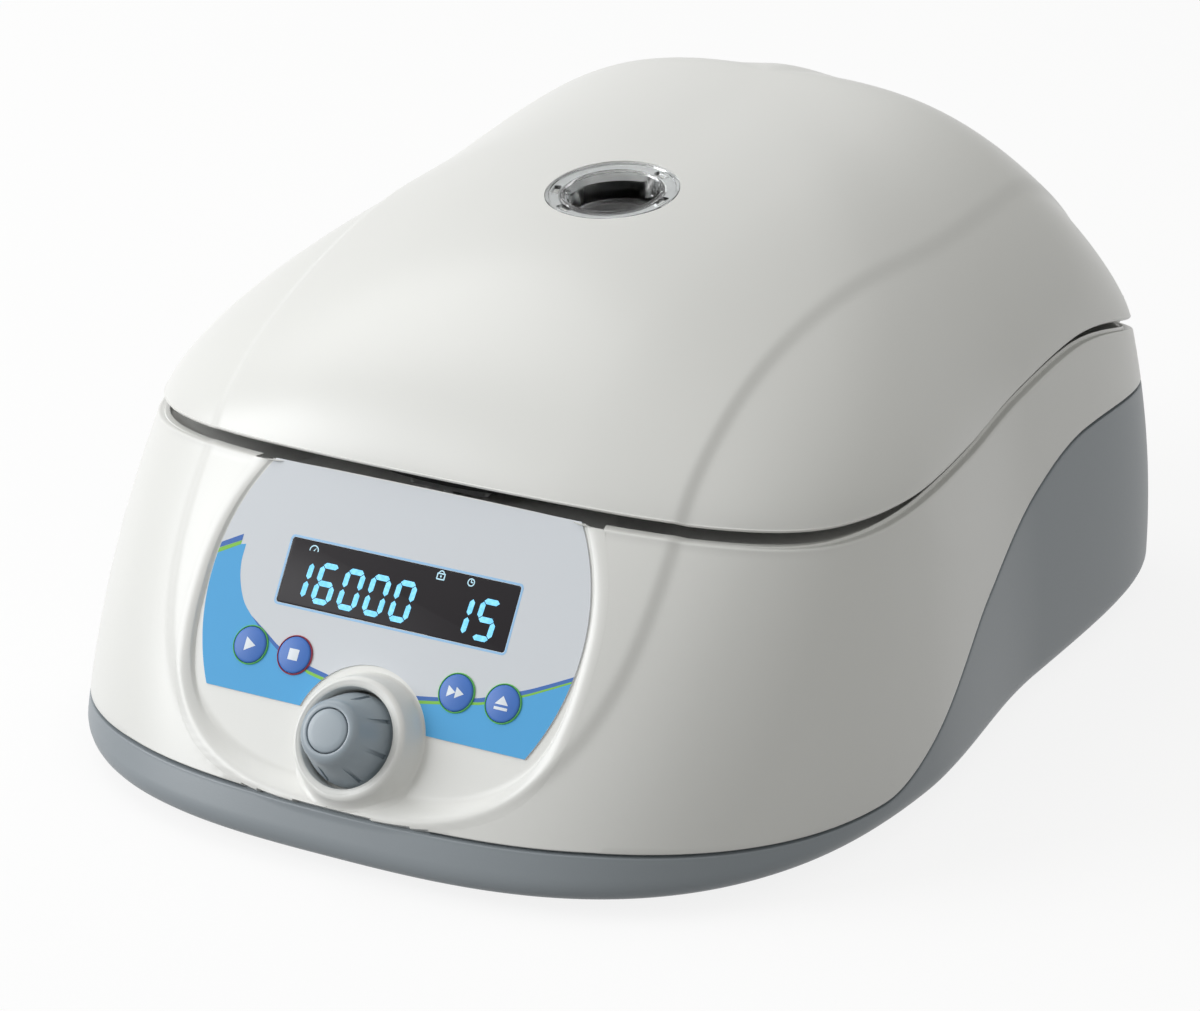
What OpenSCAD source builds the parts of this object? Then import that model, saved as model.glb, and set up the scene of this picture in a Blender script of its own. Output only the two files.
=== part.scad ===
// Microcentrifuge with a hinged lid, a tilted front panel and a fixed-angle rotor.
// Body frame: x across, y back from the front foot, z up from the lower edge of the base.
// The whole model is then placed with its origin at the bottom centre, on the feet.

/* [Body] */
// Width of the housing across its foot
body_w = 255.5; // [246:0.5:270]
// Length of the housing from its front foot to its rear wall
body_len = 326.4; // [320:0.1:340]
// Thickness of the moulded walls
wall = 2.8; // [2.2:0.1:3.2]
// Radius that tucks the base in under its lower edge
base_round = 6.8; // [4:0.1:8]
// Thickness of the floor of the base
floor_t = 3; // [2:0.5:4]
// Height of the rubber feet
foot_h = 4; // [3:0.5:8]

/* [Outline] */
// Backward lean of the front wall, per unit of height
front_lean = 0.41; // [0.36:0.01:0.44]
// Growth of that lean with height
front_bow = 0.00245; // [0.0018:0.00005:0.003]
// Outward flare of the side walls near the foot
side_flare = 0.04; // [0:0.01:0.06]
// Inward bow of the side walls with height
side_bow = 0.00152; // [0.001:0.00002:0.002]
// Outward flare of the rear wall near the foot
rear_flare = 0.046; // [0:0.002:0.06]
// Inward bow of the rear wall with height
rear_bow = 0.00121; // [0.0008:0.00001:0.0016]
// Distance back to the widest part of the plan outline
widest_y = 135.9; // [125:0.1:145]
// Squareness of the rounded nose in plan
nose_power = 2.83; // [2.5:0.01:3.2]
// Growth of the nose's squareness with height
nose_growth = 0.0015; // [0:0.0001:0.003]
// Squareness of the tail in plan
tail_power = 7.1; // [5:0.1:9]
// Share of the width that the body loses towards its tail
waist = 0.062; // [0.02:0.001:0.09]
// Distance back to where the narrowing starts
waist_from = 118; // [100:1:130]
// Distance back to where the narrowing ends
waist_to = 206.5; // [190:0.5:230]

/* [Seams] */
// Height of the base seam at the nose
base_seam_nose = 13.2; // [11:0.1:16]
// Height of the base seam at its lowest, beside the front panel
base_seam_low = 8.6; // [8:0.1:11]
// Height of the base seam halfway back
base_seam_mid = 42.8; // [38:0.1:48]
// Height of the base seam at its highest
base_seam_high = 66.8; // [60:0.1:70]
// Height of the base seam at the rear wall
base_seam_tail = 60.2; // [56:0.1:64]
// Height of the lid's edge at the nose
lid_seam_nose = 100.8; // [98:0.1:104]
// Height of the lid's edge a quarter of the way back
lid_seam_front = 89; // [88:0.1:92]
// Height of the lid's edge halfway back
lid_seam_mid = 89; // [88:0.1:92]
// Height of the lid's edge three quarters of the way back
lid_seam_back = 94.8; // [92:0.1:97]
// Height of the lid's edge at the rear wall
lid_seam_tail = 76.2; // [74:0.1:80]
// Shadow gap between the base and the upper housing
base_gap = 0.8; // [0.6:0.1:1.2]
// Gap under the lid's edge at the sides and the rear
lid_gap = 1.2; // [1:0.1:2]
// Extra gap under the lid's front edge
finger_gap = 2; // [1:0.1:3]

/* [Lid] */
// Height of the crown of the lid
crown_h = 157.8; // [155:0.1:165]
// Distance back to the crown
crown_y = 254.8; // [245:0.1:260]
// Tilt of the lid's crown, falling to the front
crown_tilt = 7.2; // [6:0.1:9]
// Thickness of the inner lid
liner_t = 2.2; // [1.6:0.1:3]
// How far the lid opens
lid_open = 75; // [60:1:80]

/* [Raised centre] */
// Height of the raised centre strip above the flanks
raise_h = 2; // [0.5:0.1:2.6]
// Half width of the raised strip at the front
raise_w_front = 77; // [72:0.5:82]
// Half width of the raised strip over the lid
raise_w_back = 82.5; // [78:0.5:88]
// Height of the lowest point of the strip's round end
raise_low = 12.5; // [11:0.5:16]

/* [Panel] */
// Lean of the flat front panel away from upright
panel_tilt = 32.15; // [31:0.05:33]
// Distance back to the row of keys
panel_y = 29.9; // [29.5:0.1:31]
// Height of the row of keys
panel_z = 45.3; // [44.5:0.1:46]
// Half width of the printed overlay
overlay_half_w = 60.3; // [58:0.1:61]
// Radius of the overlay's bowed sides
overlay_side_r = 63; // [58:0.5:75]
// Height of the overlay's widest point above the row of keys
overlay_wide_v = 18; // [14:0.5:22]
// Lower edge of the overlay below the row of keys
overlay_low = 13.3; // [12:0.1:14]
// Upper edge of the overlay above the row of keys
overlay_high = 53; // [50:0.1:54]
// Thickness of the overlay
overlay_t = 0.4; // [0.2:0.1:0.6]
// Margin of bare recess round the overlay
recess_margin = 1.2; // [0.8:0.1:2]
// Lowest point of the recess below the row of keys
recess_low = 33; // [31:0.5:34]
// Thickness of the panel's floor
panel_t = 2.4; // [2:0.1:2.6]

/* [Display] */
// Width of the display window
display_w = 74.1; // [70:0.1:78]
// Height of the display window
display_h = 18.5; // [17:0.1:19.5]
// Height of the window's centre above the row of keys
display_v = 22.9; // [22:0.1:24]

/* [Keys] */
// Diameter of a key
key_d = 10.4; // [9:0.1:11]
// Distance from the centre line to the outer keys
key_outer_x = 41.2; // [40:0.1:42]
// Distance from the centre line to the inner keys
key_inner_x = 26.4; // [25.5:0.1:27]
// Height of the key's rim above the panel
key_rim_h = 1.1; // [1:0.1:1.5]
// Travel of a key
key_travel = 0.4; // [0.3:0.1:0.6]

/* [Knob] */
// Distance of the knob's axis below the row of keys
knob_drop = 19.2; // [18.5:0.1:20]
// Radius of the knob at its widest
knob_r = 13.2; // [12.5:0.1:13.4]
// Radius of the knob where its nose starts to round over
knob_nose_r = 11.5; // [10.5:0.1:12]
// Height of the knob's nose above the panel
knob_h = 17.4; // [16.5:0.1:19]
// Radius of the round cap in the nose
knob_cap_r = 6.1; // [5:0.1:7]
// Number of grip grooves round the knob
grip_count = 8; // [6:1:12]
// Travel of the knob when it is pushed
knob_travel = 0.5; // [0.4:0.1:0.6]
// Radius of the foot of the collar round the knob
collar_r = 21; // [20.5:0.1:22]
// Height of the collar above the panel
collar_h = 6; // [5:0.1:7]

/* [Viewing port] */
// Radius of the port's flange
port_r = 19.7; // [18:0.1:21]
// Radius of the clear cup at its mouth
cup_r = 14.2; // [13:0.1:15]
// Depth of the clear cup
cup_depth = 8; // [6:0.5:10]

/* [Chamber and rotor] */
// Distance back to the rotor's axis
axis_y = 161.4; // [160:0.1:162]
// Inner radius of the rotor chamber
bowl_r = 75; // [73:0.5:76]
// Thickness of the chamber's sheet steel
bowl_t = 1; // [0.8:0.1:1.5]
// Height of the deck round the chamber
deck_z = 84; // [83:0.5:85]
// Height of the chamber's floor
bowl_floor_z = 50; // [48:0.5:52]
// Radius of the rotor
rotor_r = 67; // [65:0.5:68]
// Number of places in the rotor
place_count = 12; // [6:1:14]
// Diameter of a tube place
place_d = 11.2; // [10.6:0.1:11.4]
// Depth of a tube place along its axis
place_depth = 36; // [30:0.5:38]
// Radius of the circle on which the places open
place_ring_r = 37.6; // [36:0.1:39]
// Height of the rotor's foot above the body's lower edge
rotor_z = 58; // [57:0.5:60]
// Radius of the motor shaft
shaft_r = 4; // [3:0.1:5]
// Running clearance round shafts, pins and bolts
run_fit = 0.06; // [0.02:0.01:0.09]

/* [Motor] */
// Radius of the motor's can
motor_r = 36; // [30:0.5:38]
// Radius of the circle of the rubber mounts
mount_ring_r = 54; // [50:0.5:58]
// Height of a rubber mount
mount_h = 5; // [4:0.5:8]

/* [Hinge and lock] */
// Radius of the hinge barrels
barrel_r = 5; // [4.5:0.1:6]
// Radius of the hinge pins
hinge_pin_r = 2; // [1.5:0.1:2.5]
// Distance of the hinges from the centre line
hinge_x = 72; // [60:1:80]
// Radius of the lock bolt
bolt_r = 2.5; // [2:0.1:3]
// Travel of the lock bolt
bolt_travel = 9.5; // [9:0.1:10]

/* [Rear] */
// Width of the power inlet's flange
inlet_w = 31; // [29:0.5:34]
// Height of the power inlet's flange
inlet_h = 33; // [31:0.5:36]
// Distance of the inlet from the centre line
inlet_x = 50; // [46:1:54]
// Height of the inlet's centre
inlet_z = 31; // [28:0.5:34]
// Distance of the switch from the centre line
switch_x = 14; // [0:1:18]
// Width of the power switch's frame
switch_w = 15; // [13:0.5:18]
// Height of the power switch's frame
switch_h = 21; // [19:0.5:26]
// Swing of the rocker from side to side
rocker_swing = 16; // [10:1:20]

/* [Hidden] */

// Colours of the finishes
shell_white = [0.87, 0.87, 0.85];
base_grey = [0.56, 0.6, 0.64];
knob_grey = [0.62, 0.66, 0.7];
key_blue = [0.17, 0.36, 0.75];
steel = [0.72, 0.73, 0.74];
alloy = [0.8, 0.81, 0.83];
rubber_black = [0.1, 0.1, 0.1];
part_black = [0.13, 0.13, 0.14];
board_green = [0.1, 0.34, 0.2];
copper = [0.7, 0.42, 0.2];

// Fineness: points round each moulded shell, and sides of round parts
cols = 84;
$fn = 72;
// Clearance between moulded pieces that sit in each other
fit = 0.3;
// Overshoot of a cut past the face that it opens
cut = 1;
// Stations of the seams' heights, as shares of the length
stations = [0.05, 0.28, 0.5, 0.75, 1];
base_heights = [base_seam_nose, base_seam_low, base_seam_mid, base_seam_high, base_seam_tail];
lid_heights = [lid_seam_nose, lid_seam_front, lid_seam_mid, lid_seam_back, lid_seam_tail];
// Powers of the lid's arch along and across, at its front, sides and rear
arch_front = [4.43, 1.21];
arch_side = [2.69, 1.4];
arch_rear = [1.96, 1.26];
arch_corner = [1.61, 0];
crown_spread = 1.2;
// The front, upright part of the raised strip, and how softly it falls away
raise_top = 87;
raise_power = 2.6;
raise_soft = 9;

function lerp(a, b, f) = a + (b - a) * f;
function clamp(v, low, high) = max(low, min(high, v));
function smooth(u) = let (c = clamp(u, 0, 1)) c * c * (3 - 2 * c);
function spow(v, p) = sign(v) * pow(abs(v), p);
function unit(v) = v / norm(v);
function sq(v) = v * v;

// A smooth curve through a few heights that never overshoots them
function rise(xs, ys, i) = (ys[i + 1] - ys[i]) / (xs[i + 1] - xs[i]);
function tangent(xs, ys, i) =
    i == 0 ? rise(xs, ys, 0) :
    i == len(xs) - 1 ? rise(xs, ys, i - 1) :
    let (a = rise(xs, ys, i - 1), b = rise(xs, ys, i)) a * b <= 0 ? 0 : 2 * a * b / (a + b);
function curve(xs, ys, x, i = 0) =
    (i < len(xs) - 2 && x > xs[i + 1]) ? curve(xs, ys, x, i + 1) :
    let (w = xs[i + 1] - xs[i], t = clamp((x - xs[i]) / w, 0, 1), u = 1 - t)
        ys[i] * (1 + 2 * t) * u * u + ys[i + 1] * (3 - 2 * t) * t * t
        + w * (tangent(xs, ys, i) * t * u * u - tangent(xs, ys, i + 1) * t * t * u);

// Plan outline of the body at height z, in direction a, moved inwards by t
function tuck(z) = z < base_round ? base_round - sqrt(sq(base_round) - sq(base_round - z)) : 0;
function front_y(z) = front_lean * z + front_bow * z * z + tuck(z);
function rear_y(z) = body_len + rear_flare * z - rear_bow * z * z - tuck(z);
function half_w(z) = body_w / 2 + side_flare * z - side_bow * z * z - tuck(z);
function outline(z, a, t = 0) =
    let (c = cos(a), s = sin(a), n = s < 0 ? nose_power + nose_growth * z : tail_power,
         r = pow(pow(abs(c), n) + pow(abs(s), n), -1 / n),
         reach = s < 0 ? widest_y - front_y(z) - t : rear_y(z) - t - widest_y,
         y = widest_y + reach * r * s)
        [(half_w(z) - t) * r * c * (1 - waist * smooth((y - waist_from) / (waist_to - waist_from))), y];
// The rear wall's place at a distance x from the centre line
function rear_at(x, z) = widest_y + (rear_y(z) - widest_y)
    * pow(1 - pow(x / (half_w(z) * (1 - waist)), tail_power), 1 / tail_power);
function seam_point(a, heights, z = 60, turns = 12) =
    turns == 0 ? let (p = outline(z, a)) [p.x, p.y, z] :
    let (y = outline(z, a).y, goal = curve(stations * body_len, heights, y))
        seam_point(a, heights, lerp(z, goal, 0.7), turns - 1);

// The raised centre strip: how much of it a point has, and which way it is raised
function strip(p) =
    let (w = lerp(raise_w_front, raise_w_back, smooth((p.y - 75) / 110)),
         t = p.y < widest_y ? max(0, (raise_top - p.z) / (raise_top - raise_low)) : 0,
         edge = pow(pow(abs(p.x) / w, raise_power) + pow(t, raise_power), 1 / raise_power) - 1,
         tail = p.y > 200 ? smooth((p.z - 50) / 25) : 1)
        tail * (1 - smooth((edge * 62 + 3) / raise_soft));
function raised(p) =
    p + raise_h * strip(p) * unit([0.4 * p.x, p.y - clamp(p.y, 130, 250), p.z - 30]);

angles = [for (j = [0:cols - 1]) 360 * j / cols];
base_seam = [for (a = angles) seam_point(a, base_heights)];
lid_seam = [for (a = angles) seam_point(a, lid_heights)];
function gap_at(y) = lid_gap + finger_gap * (1 - smooth((y - 75) / 60));
rim_z = [for (p = lid_seam) p.z - gap_at(p.y)];

// One arch of the lid: e is the edge point, s runs from the crown, 0, to the edge, 1.
// The arches start out round at the crown and spread to the squarer outline at the edge.
front_col = cols * 3 / 4;
rear_col = cols / 4;
lid_w = max([for (p = lid_seam) p.x]);
function arch(e, s, top) =
    let (back = e.y - crown_y, u = e.x / lid_w,
         v = back / (back < 0 ? crown_y - lid_seam[front_col].y : lid_seam[rear_col].y - crown_y),
         wide = norm([u, v]), side = sq(u / wide), along = 1 - side,
         power = side * arch_side + along * (back < 0 ? arch_front : arch_rear) - side * along * arch_corner,
         g = s * lerp(1 / wide, 1, pow(s, crown_spread)))
        [g * e.x, crown_y + g * back,
         e.z + (top - e.z) * pow(max(0, 1 - pow(s, power[0])), 1 / power[1])
            + g * back * tan(crown_tilt) * (1 - s * s)];
function lid_edge(j, t) = let (p = outline(lid_seam[j].z, angles[j], t)) [p.x, p.y, lid_seam[j].z];
function lid_row(s, t) = [for (j = [0:cols - 1]) raised(arch(lid_edge(j, t), s, crown_h - t))];

// A skin through rows of points; ring joins the last row to the first, else both ends are capped
function middle(row) = [for (k = [0:2]) [for (p = row) p[k]] * [for (p = row) 1] / len(row)];
module loft(rows, ring = false) {
    n = len(rows[0]);
    m = len(rows);
    last = ring ? m : m - 1;
    quads = [for (i = [0:last - 1], j = [0:n - 1])
        let (a = i * n + j, b = i * n + (j + 1) % n, k = ((i + 1) % m) * n) [a, b, k + (j + 1) % n, k + j]];
    sides = [for (q = quads, h = [0, 1]) h == 0 ? [q[0], q[2], q[1]] : [q[0], q[3], q[2]]];
    low = [for (j = [0:n - 1]) [j, (j + 1) % n, m * n]];
    high = [for (j = [0:n - 1]) [(m - 1) * n + (j + 1) % n, (m - 1) * n + j, m * n + 1]];
    ends = ring ? [] : [middle(rows[0]), middle(rows[m - 1])];
    polyhedron(points = concat([for (r = rows) each r], ends),
        faces = ring ? sides : concat(sides, low, high), convexity = 6);
}

// Places: the whole model, the panel, the port and the rotor's axis
nose_edge = [knob_nose_r - 2.6, knob_h - 1.2];
front_most = panel_y - (knob_drop + nose_edge[0]) * sin(panel_tilt) - nose_edge[1] * cos(panel_tilt);
hinge_z = lid_seam_tail - barrel_r / 3;
hinge_y = max([for (p = lid_seam) raised(p).y]) + barrel_r + 0.4;
origin_y = (front_most + hinge_y + barrel_r) / 2;
function port_s(y) = (crown_y - y) / (crown_y - lid_seam[front_col].y);
function crown_line(y) = raised(arch(lid_seam[front_col], port_s(y), crown_h)).z;
port_z = crown_line(axis_y);
port_tilt = atan((crown_line(axis_y + 8) - crown_line(axis_y - 8)) / 16);
module placed() {
    translate([0, -origin_y, foot_h]) children();
}
module on_panel(u = 0, v = 0, h = 0) {
    placed() translate([0, panel_y, panel_z]) rotate([90 - panel_tilt, 0, 0]) translate([u, v, h]) children();
}
module at_port(h = 0) {
    placed() translate([0, axis_y, port_z]) rotate([port_tilt, 0, 0]) translate([0, 0, h]) children();
}
module at_axis(z = 0) {
    placed() translate([0, axis_y, z]) children();
}
module at_rear(x, z, out = 0) {
    y = rear_y(z);
    lean = atan((rear_y(z + 10) - rear_y(z - 10)) / 20);
    placed() translate([x, y, z]) rotate([90 + lean, 0, 180]) translate([0, 0, out]) children();
}
module pan_screw(r, l) {
    difference() {
        union() {
            cylinder(r = 1.9 * r, h = 1.1 * r);
            translate([0, 0, -l]) cylinder(r = r, h = l + 0.1);
        }
        translate([0, 0, 0.5 * r]) cylinder(r = r, h = 1.1 * r, $fn = 6);
    }
}
module bar(x, y, z, r) {
    linear_extrude(z) rounded(x, y, r);
}
module rounded(x, y, r) {
    square([x - 2 * r, y], center = true);
    square([x, y - 2 * r], center = true);
    for (i = [-1, 1], k = [-1, 1]) translate([i * (x / 2 - r), k * (y / 2 - r)]) circle(r, $fn = 24);
}

// Base: a tray whose wall sweeps up towards the rear
foot_spots = [[-86, 48], [86, 48], [-98, 282], [98, 282]];
foot_r = 9;
screw_r = 2;
lip_h = 3;
lip_t = 1.6;
post_r = 6;
mount_top = 36;
mount_angles = [30, 150, 270];
vent_w = 3;
seat_proud = 0.4;
socket_w = inlet_w - 7;
function base_row(f, z, t) = [for (j = [0:cols - 1])
    let (h = z + f * (base_seam[j].z - z), p = outline(h, angles[j], t)) raised([p.x, p.y, h])];
// The lip stops short where the recess of the panel comes down to the seam
function lip_top(p) = abs(p.x) < 48 && p.y < 60 ? base_gap / 2 : lip_h;
function base_inner(dz, low, t) = [for (j = [0:cols - 1])
    let (h = max(base_seam[j].z + (dz > 0 ? lip_top(base_seam[j]) : dz), low), p = outline(h, angles[j], t)) raised([p.x, p.y, h])];
module vent_rows(count, pitch, slot) {
    for (i = [0:count - 1]) translate([(i - (count - 1) / 2) * pitch, 0, -cut])
        bar(vent_w, slot, floor_t + 2 * cut, vent_w / 2 - 0.01);
}
module base_shell() {
    lip_in = wall + 0.2;
    color(base_grey) difference() {
        union() {
            placed() loft([
                base_row(0, 0, 0), base_row(0, 0.7, 0), base_row(0, 2.2, 0), base_row(0, 4.5, 0),
                base_row(0, 7, 0), base_row(0.4, 7, 0), base_row(0.75, 7, 0), base_row(1, 7, 0),
                base_row(1, 7, lip_in), base_inner(lip_h, 0, lip_in), base_inner(lip_h, 0, lip_in + lip_t),
                base_inner(-3, floor_t + 3, lip_in + lip_t), base_inner(-500, floor_t + 2.6, wall),
                base_inner(-500, floor_t, wall + 2.6)
            ]);
            for (a = mount_angles) at_axis(floor_t - 0.5) rotate([0, 0, a]) translate([mount_ring_r, 0, 0])
                cylinder(r = post_r, h = mount_top - floor_t + 0.5);
            for (p = foot_spots) placed() translate([p.x, p.y, floor_t - 0.5]) cylinder(r = 5, h = 9.5);
            at_rear(inlet_x, inlet_z, -wall) bar(inlet_w + 3, inlet_h + 3, wall + seat_proud, 3);
            at_rear(switch_x, inlet_z, -wall) bar(switch_w + 3, switch_h + 3, wall + seat_proud, 3);
        }
        for (a = mount_angles) at_axis(mount_top - 14) rotate([0, 0, a]) translate([mount_ring_r, 0, 0])
            cylinder(r = screw_r, h = 20);
        for (p = foot_spots) placed() translate([p.x, p.y, -cut]) cylinder(r = screw_r + 0.2, h = 11);
        at_axis() translate([0, -82, 0]) vent_rows(11, 9, 44);
        at_axis() translate([0, 96, 0]) vent_rows(9, 9, 30);
        at_rear(inlet_x, inlet_z, -12) bar(socket_w + 3, inlet_h - 5, 20, 2);
        at_rear(switch_x, inlet_z, -12) bar(switch_w - 2.4, switch_h - 2.4, 20, 1);
        for (i = [0:8]) at_rear(-24 - 8 * i, inlet_z, -12) bar(vent_w, 30, 20, vent_w / 2 - 0.01);
    }
}
module rubber_feet() {
    for (p = foot_spots) color(rubber_black) placed() translate([p.x, p.y, -foot_h])
        rotate_extrude() polygon([[3.6, 0.6], [4.2, 0], [foot_r - 1.6, 0], [foot_r - 0.6, 0.8], [foot_r, foot_h],
            [screw_r + 0.3, foot_h], [screw_r + 0.3, 2.4], [3.6, 2.4]]);
}
module base_screws() {
    for (p = foot_spots) color(steel) placed() translate([p.x, p.y, -foot_h + 2.2]) rotate([180, 0, 0])
        translate([0, 0, -0.2]) difference() {
            union() {
                cylinder(r = 3.3, h = 1.6);
                translate([0, 0, -10]) cylinder(r = screw_r, h = 10.1);
            }
            translate([0, 0, 0.8]) cylinder(r = 1.3, h = 2, $fn = 6);
        }
}

// Upper housing: the wall between the two seams, the rim, the deck and the panel's floor
deck_t = 2.5;
open_r = bowl_r + bowl_t + 0.4;
function wall_row(f, t) = [for (j = [0:cols - 1])
    let (z = lerp(base_seam[j].z + base_gap, rim_z[j], f), p = outline(z, angles[j], t)) raised([p.x, p.y, z])];
function step_row(t, drop, dz) = [for (j = [0:cols - 1])
    let (z = min(deck_z, rim_z[j] - drop) + dz, p = outline(z, angles[j], t)) raised([p.x, p.y, z])];
function deck_row(t, z) = [for (j = [0:cols - 1])
    let (in = t + 0.75 * max(0, deck_z + 3 - rim_z[j]), p = outline(z, angles[j], in)) [p.x, p.y, z]];
function round_row(r, z) = [for (j = [0:cols - 1])
    let (p = outline(z, angles[j]), d = unit([p.x, p.y - axis_y])) [r * d.x, axis_y + r * d.y, z]];
overlay_shift = overlay_side_r - overlay_half_w;
module side_arcs(grow, low, high) {
    intersection() {
        translate([-overlay_shift, overlay_wide_v]) circle(overlay_side_r + grow, $fn = 180);
        translate([overlay_shift, overlay_wide_v]) circle(overlay_side_r + grow, $fn = 180);
        translate([-80, low]) square([160, high - low]);
    }
}
// The recess: bowed sides above its widest point, a squared round bowl below it
recess_half_w = overlay_half_w + recess_margin;
module recess_shape(grow = 0, high = 75) {
    n = 3;
    reach = overlay_wide_v + recess_low + grow;
    side_arcs(recess_margin + grow, overlay_wide_v, high);
    polygon([for (a = [180:5:360]) [(recess_half_w + grow) * spow(cos(a), 2 / n),
        overlay_wide_v + reach * spow(sin(a), 2 / n)]]);
}
cup_floor = 4;
cup_t = 2;
bush_r = 4.4;
window_seat = 1;
window_sink = 1.2;
collar_bore = knob_r + 0.8;
board_h = 14;
board_spots = [[-50, 24], [50, 24], [-36, -24], [36, -24]];
lug_w = 5.6;
lug_pitch = 13;
module key_spots() {
    for (x = [-key_outer_x, -key_inner_x, key_inner_x, key_outer_x]) translate([x, 0, 0]) children();
}
slot_y = [66.5, 79.8];
// The part of the front that lies under the skin: it limits the recess's side wall
skin_cols = [for (j = [0:cols - 1]) if (abs(outline(50, angles[j]).x) < 72 && angles[j] > 180) j];
module under_skin() {
    placed() loft([for (f = [0.02:0.12:0.98]) let (row = wall_row(f, wall / 2))
        concat([for (j = skin_cols) row[j]], [[60, 90, row[front_col].z], [-60, 90, row[front_col].z]])]);
}
module upper_housing() {
    color(shell_white) difference() {
        union() {
            difference() {
                union() {
                    placed() loft([
                        wall_row(0, 0), wall_row(0.07, 0), wall_row(0.15, 0), wall_row(0.25, 0),
                        wall_row(0.37, 0), wall_row(0.5, 0), wall_row(0.65, 0), wall_row(0.8, 0),
                        wall_row(0.92, 0), wall_row(1, 0),
                        wall_row(1, wall), step_row(wall + 0.5, 1, 0), deck_row(wall + 1.5, deck_z),
                        round_row(open_r, deck_z), round_row(open_r, deck_z - deck_t),
                        deck_row(wall + 2.5, deck_z - deck_t), step_row(wall, 1, -deck_t),
                        wall_row(0.55, wall), wall_row(0.3, wall), wall_row(0.12, wall), wall_row(0, wall)
                    ], ring = true);
                    intersection() {
                        on_panel(0, 0, -panel_t) linear_extrude(panel_t + 12) recess_shape(1.4, 57);
                        under_skin();
                    }
                    on_panel(0, -knob_drop, -cup_floor - cup_t) cylinder(r = knob_r + 3.4, h = cup_floor + cup_t);
                    for (x = [-1, 1], k = [-1, 1])
                        hinge_lug(x * (hinge_x + k * lug_pitch), lug_w, -10);
                    for (p = board_spots) on_panel(p.x, p.y, -board_h) cylinder(r = 3, h = board_h - 1, $fn = 32);
                }
                on_panel() linear_extrude(30) recess_shape();
            }
            intersection() {
                on_panel(0, -knob_drop) rotate_extrude($fn = 96) collar_profile();
                placed() translate([-collar_r, 0, base_seam_nose + base_gap]) cube(2.5 * collar_r);
            }
        }
        on_panel(0, -knob_drop, -cup_floor) cylinder(r = collar_bore, h = 30);
        on_panel(0, -knob_drop, -20) cylinder(r = bush_r + 0.2, h = 30);
        on_panel(0, display_v, -20) bar(display_w - 2 * window_seat, display_h - 2 * window_seat, 30, 0.5);
        on_panel(0, display_v, -window_sink) bar(display_w + fit, display_h + fit, 30, 0.8);
        on_panel(0, 0, -20) key_spots() cylinder(r = key_d / 2 + 0.2, h = 30);
        placed() translate([-4, slot_y[0], deck_z - 8]) cube([8, slot_y[1] - slot_y[0], 20]);
        placed() for (x = [-1, 1]) translate([x * hinge_x - 25, hinge_y, hinge_z]) rotate([0, 90, 0])
            cylinder(r = hinge_pin_r + run_fit, h = 50);
    }
}
// The collar: a leaning outer wall, a round crest and a dished inner lip
module collar_profile() {
    crest = 2;
    polygon(concat(
        [[collar_bore - 1, -cut], [collar_r, -cut], [collar_r, 0.4]],
        [for (a = [20:14:160]) [collar_r - 3.6 + crest * cos(a), collar_h - crest + crest * sin(a)]],
        [[collar_bore - 1, collar_h - 3]]));
}
// A hinge lug: a barrel round the pin and a web that runs into the wall behind or the lid ahead
module hinge_lug(x, w, web_z) {
    placed() translate([x - w / 2, 0, 0]) rotate([90, 0, 90]) linear_extrude(w) {
        translate([hinge_y, hinge_z]) circle(barrel_r, $fn = 48);
        side = abs(x) + w / 2;
        root = rear_at(side, hinge_z + web_z) - wall + 0.8;
        polygon(web_z < 0 ?
            [[hinge_y + barrel_r * 0.96, hinge_z - 1.4], [root, hinge_z + web_z],
             [rear_at(side, hinge_z) - wall + 0.8, hinge_z - 4], [hinge_y - 1, hinge_z + 1]] :
            [[hinge_y, hinge_z + barrel_r], [root - 6.5, hinge_z + web_z],
             [rear_at(side, lid_seam_tail) - wall + 0.8, lid_seam_tail + 5], [hinge_y - 2, hinge_z]]);
    }
}

// Chamber: a deep-drawn bowl whose flange hangs on the deck, with a rubber seal on the flange
flange_r = bowl_r + 4.5;
flange_top = deck_z + bowl_t;
seal_top = flange_top + 2.8;
bowl_corner = 8;
boot_r = 14;
module chamber_bowl() {
    color(steel) at_axis() rotate_extrude($fn = 120) polygon(concat(
        [[boot_r, bowl_floor_z + 3], [boot_r, bowl_floor_z - bowl_t]],
        [for (a = [270:15:360]) [bowl_r - bowl_corner + (bowl_corner + bowl_t) * cos(a),
            bowl_floor_z + bowl_corner + (bowl_corner + bowl_t) * sin(a)]],
        [[bowl_r + bowl_t, deck_z], [flange_r, deck_z], [flange_r, flange_top], [bowl_r, flange_top]],
        [for (a = [360:-15:270]) [bowl_r - bowl_corner + bowl_corner * cos(a),
            bowl_floor_z + bowl_corner + bowl_corner * sin(a)]],
        [[boot_r + bowl_t, bowl_floor_z], [boot_r + bowl_t, bowl_floor_z + 3]]));
}
module bowl_gasket() {
    mid = (bowl_r + flange_r) / 2 + 0.3;
    half = 1.8;
    color(rubber_black) at_axis() rotate_extrude($fn = 120) polygon(concat(
        [[mid - half, flange_top], [mid + half, flange_top]],
        [for (a = [0:20:180]) [mid + half * cos(a), seal_top - half + half * sin(a)]]));
}

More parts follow.
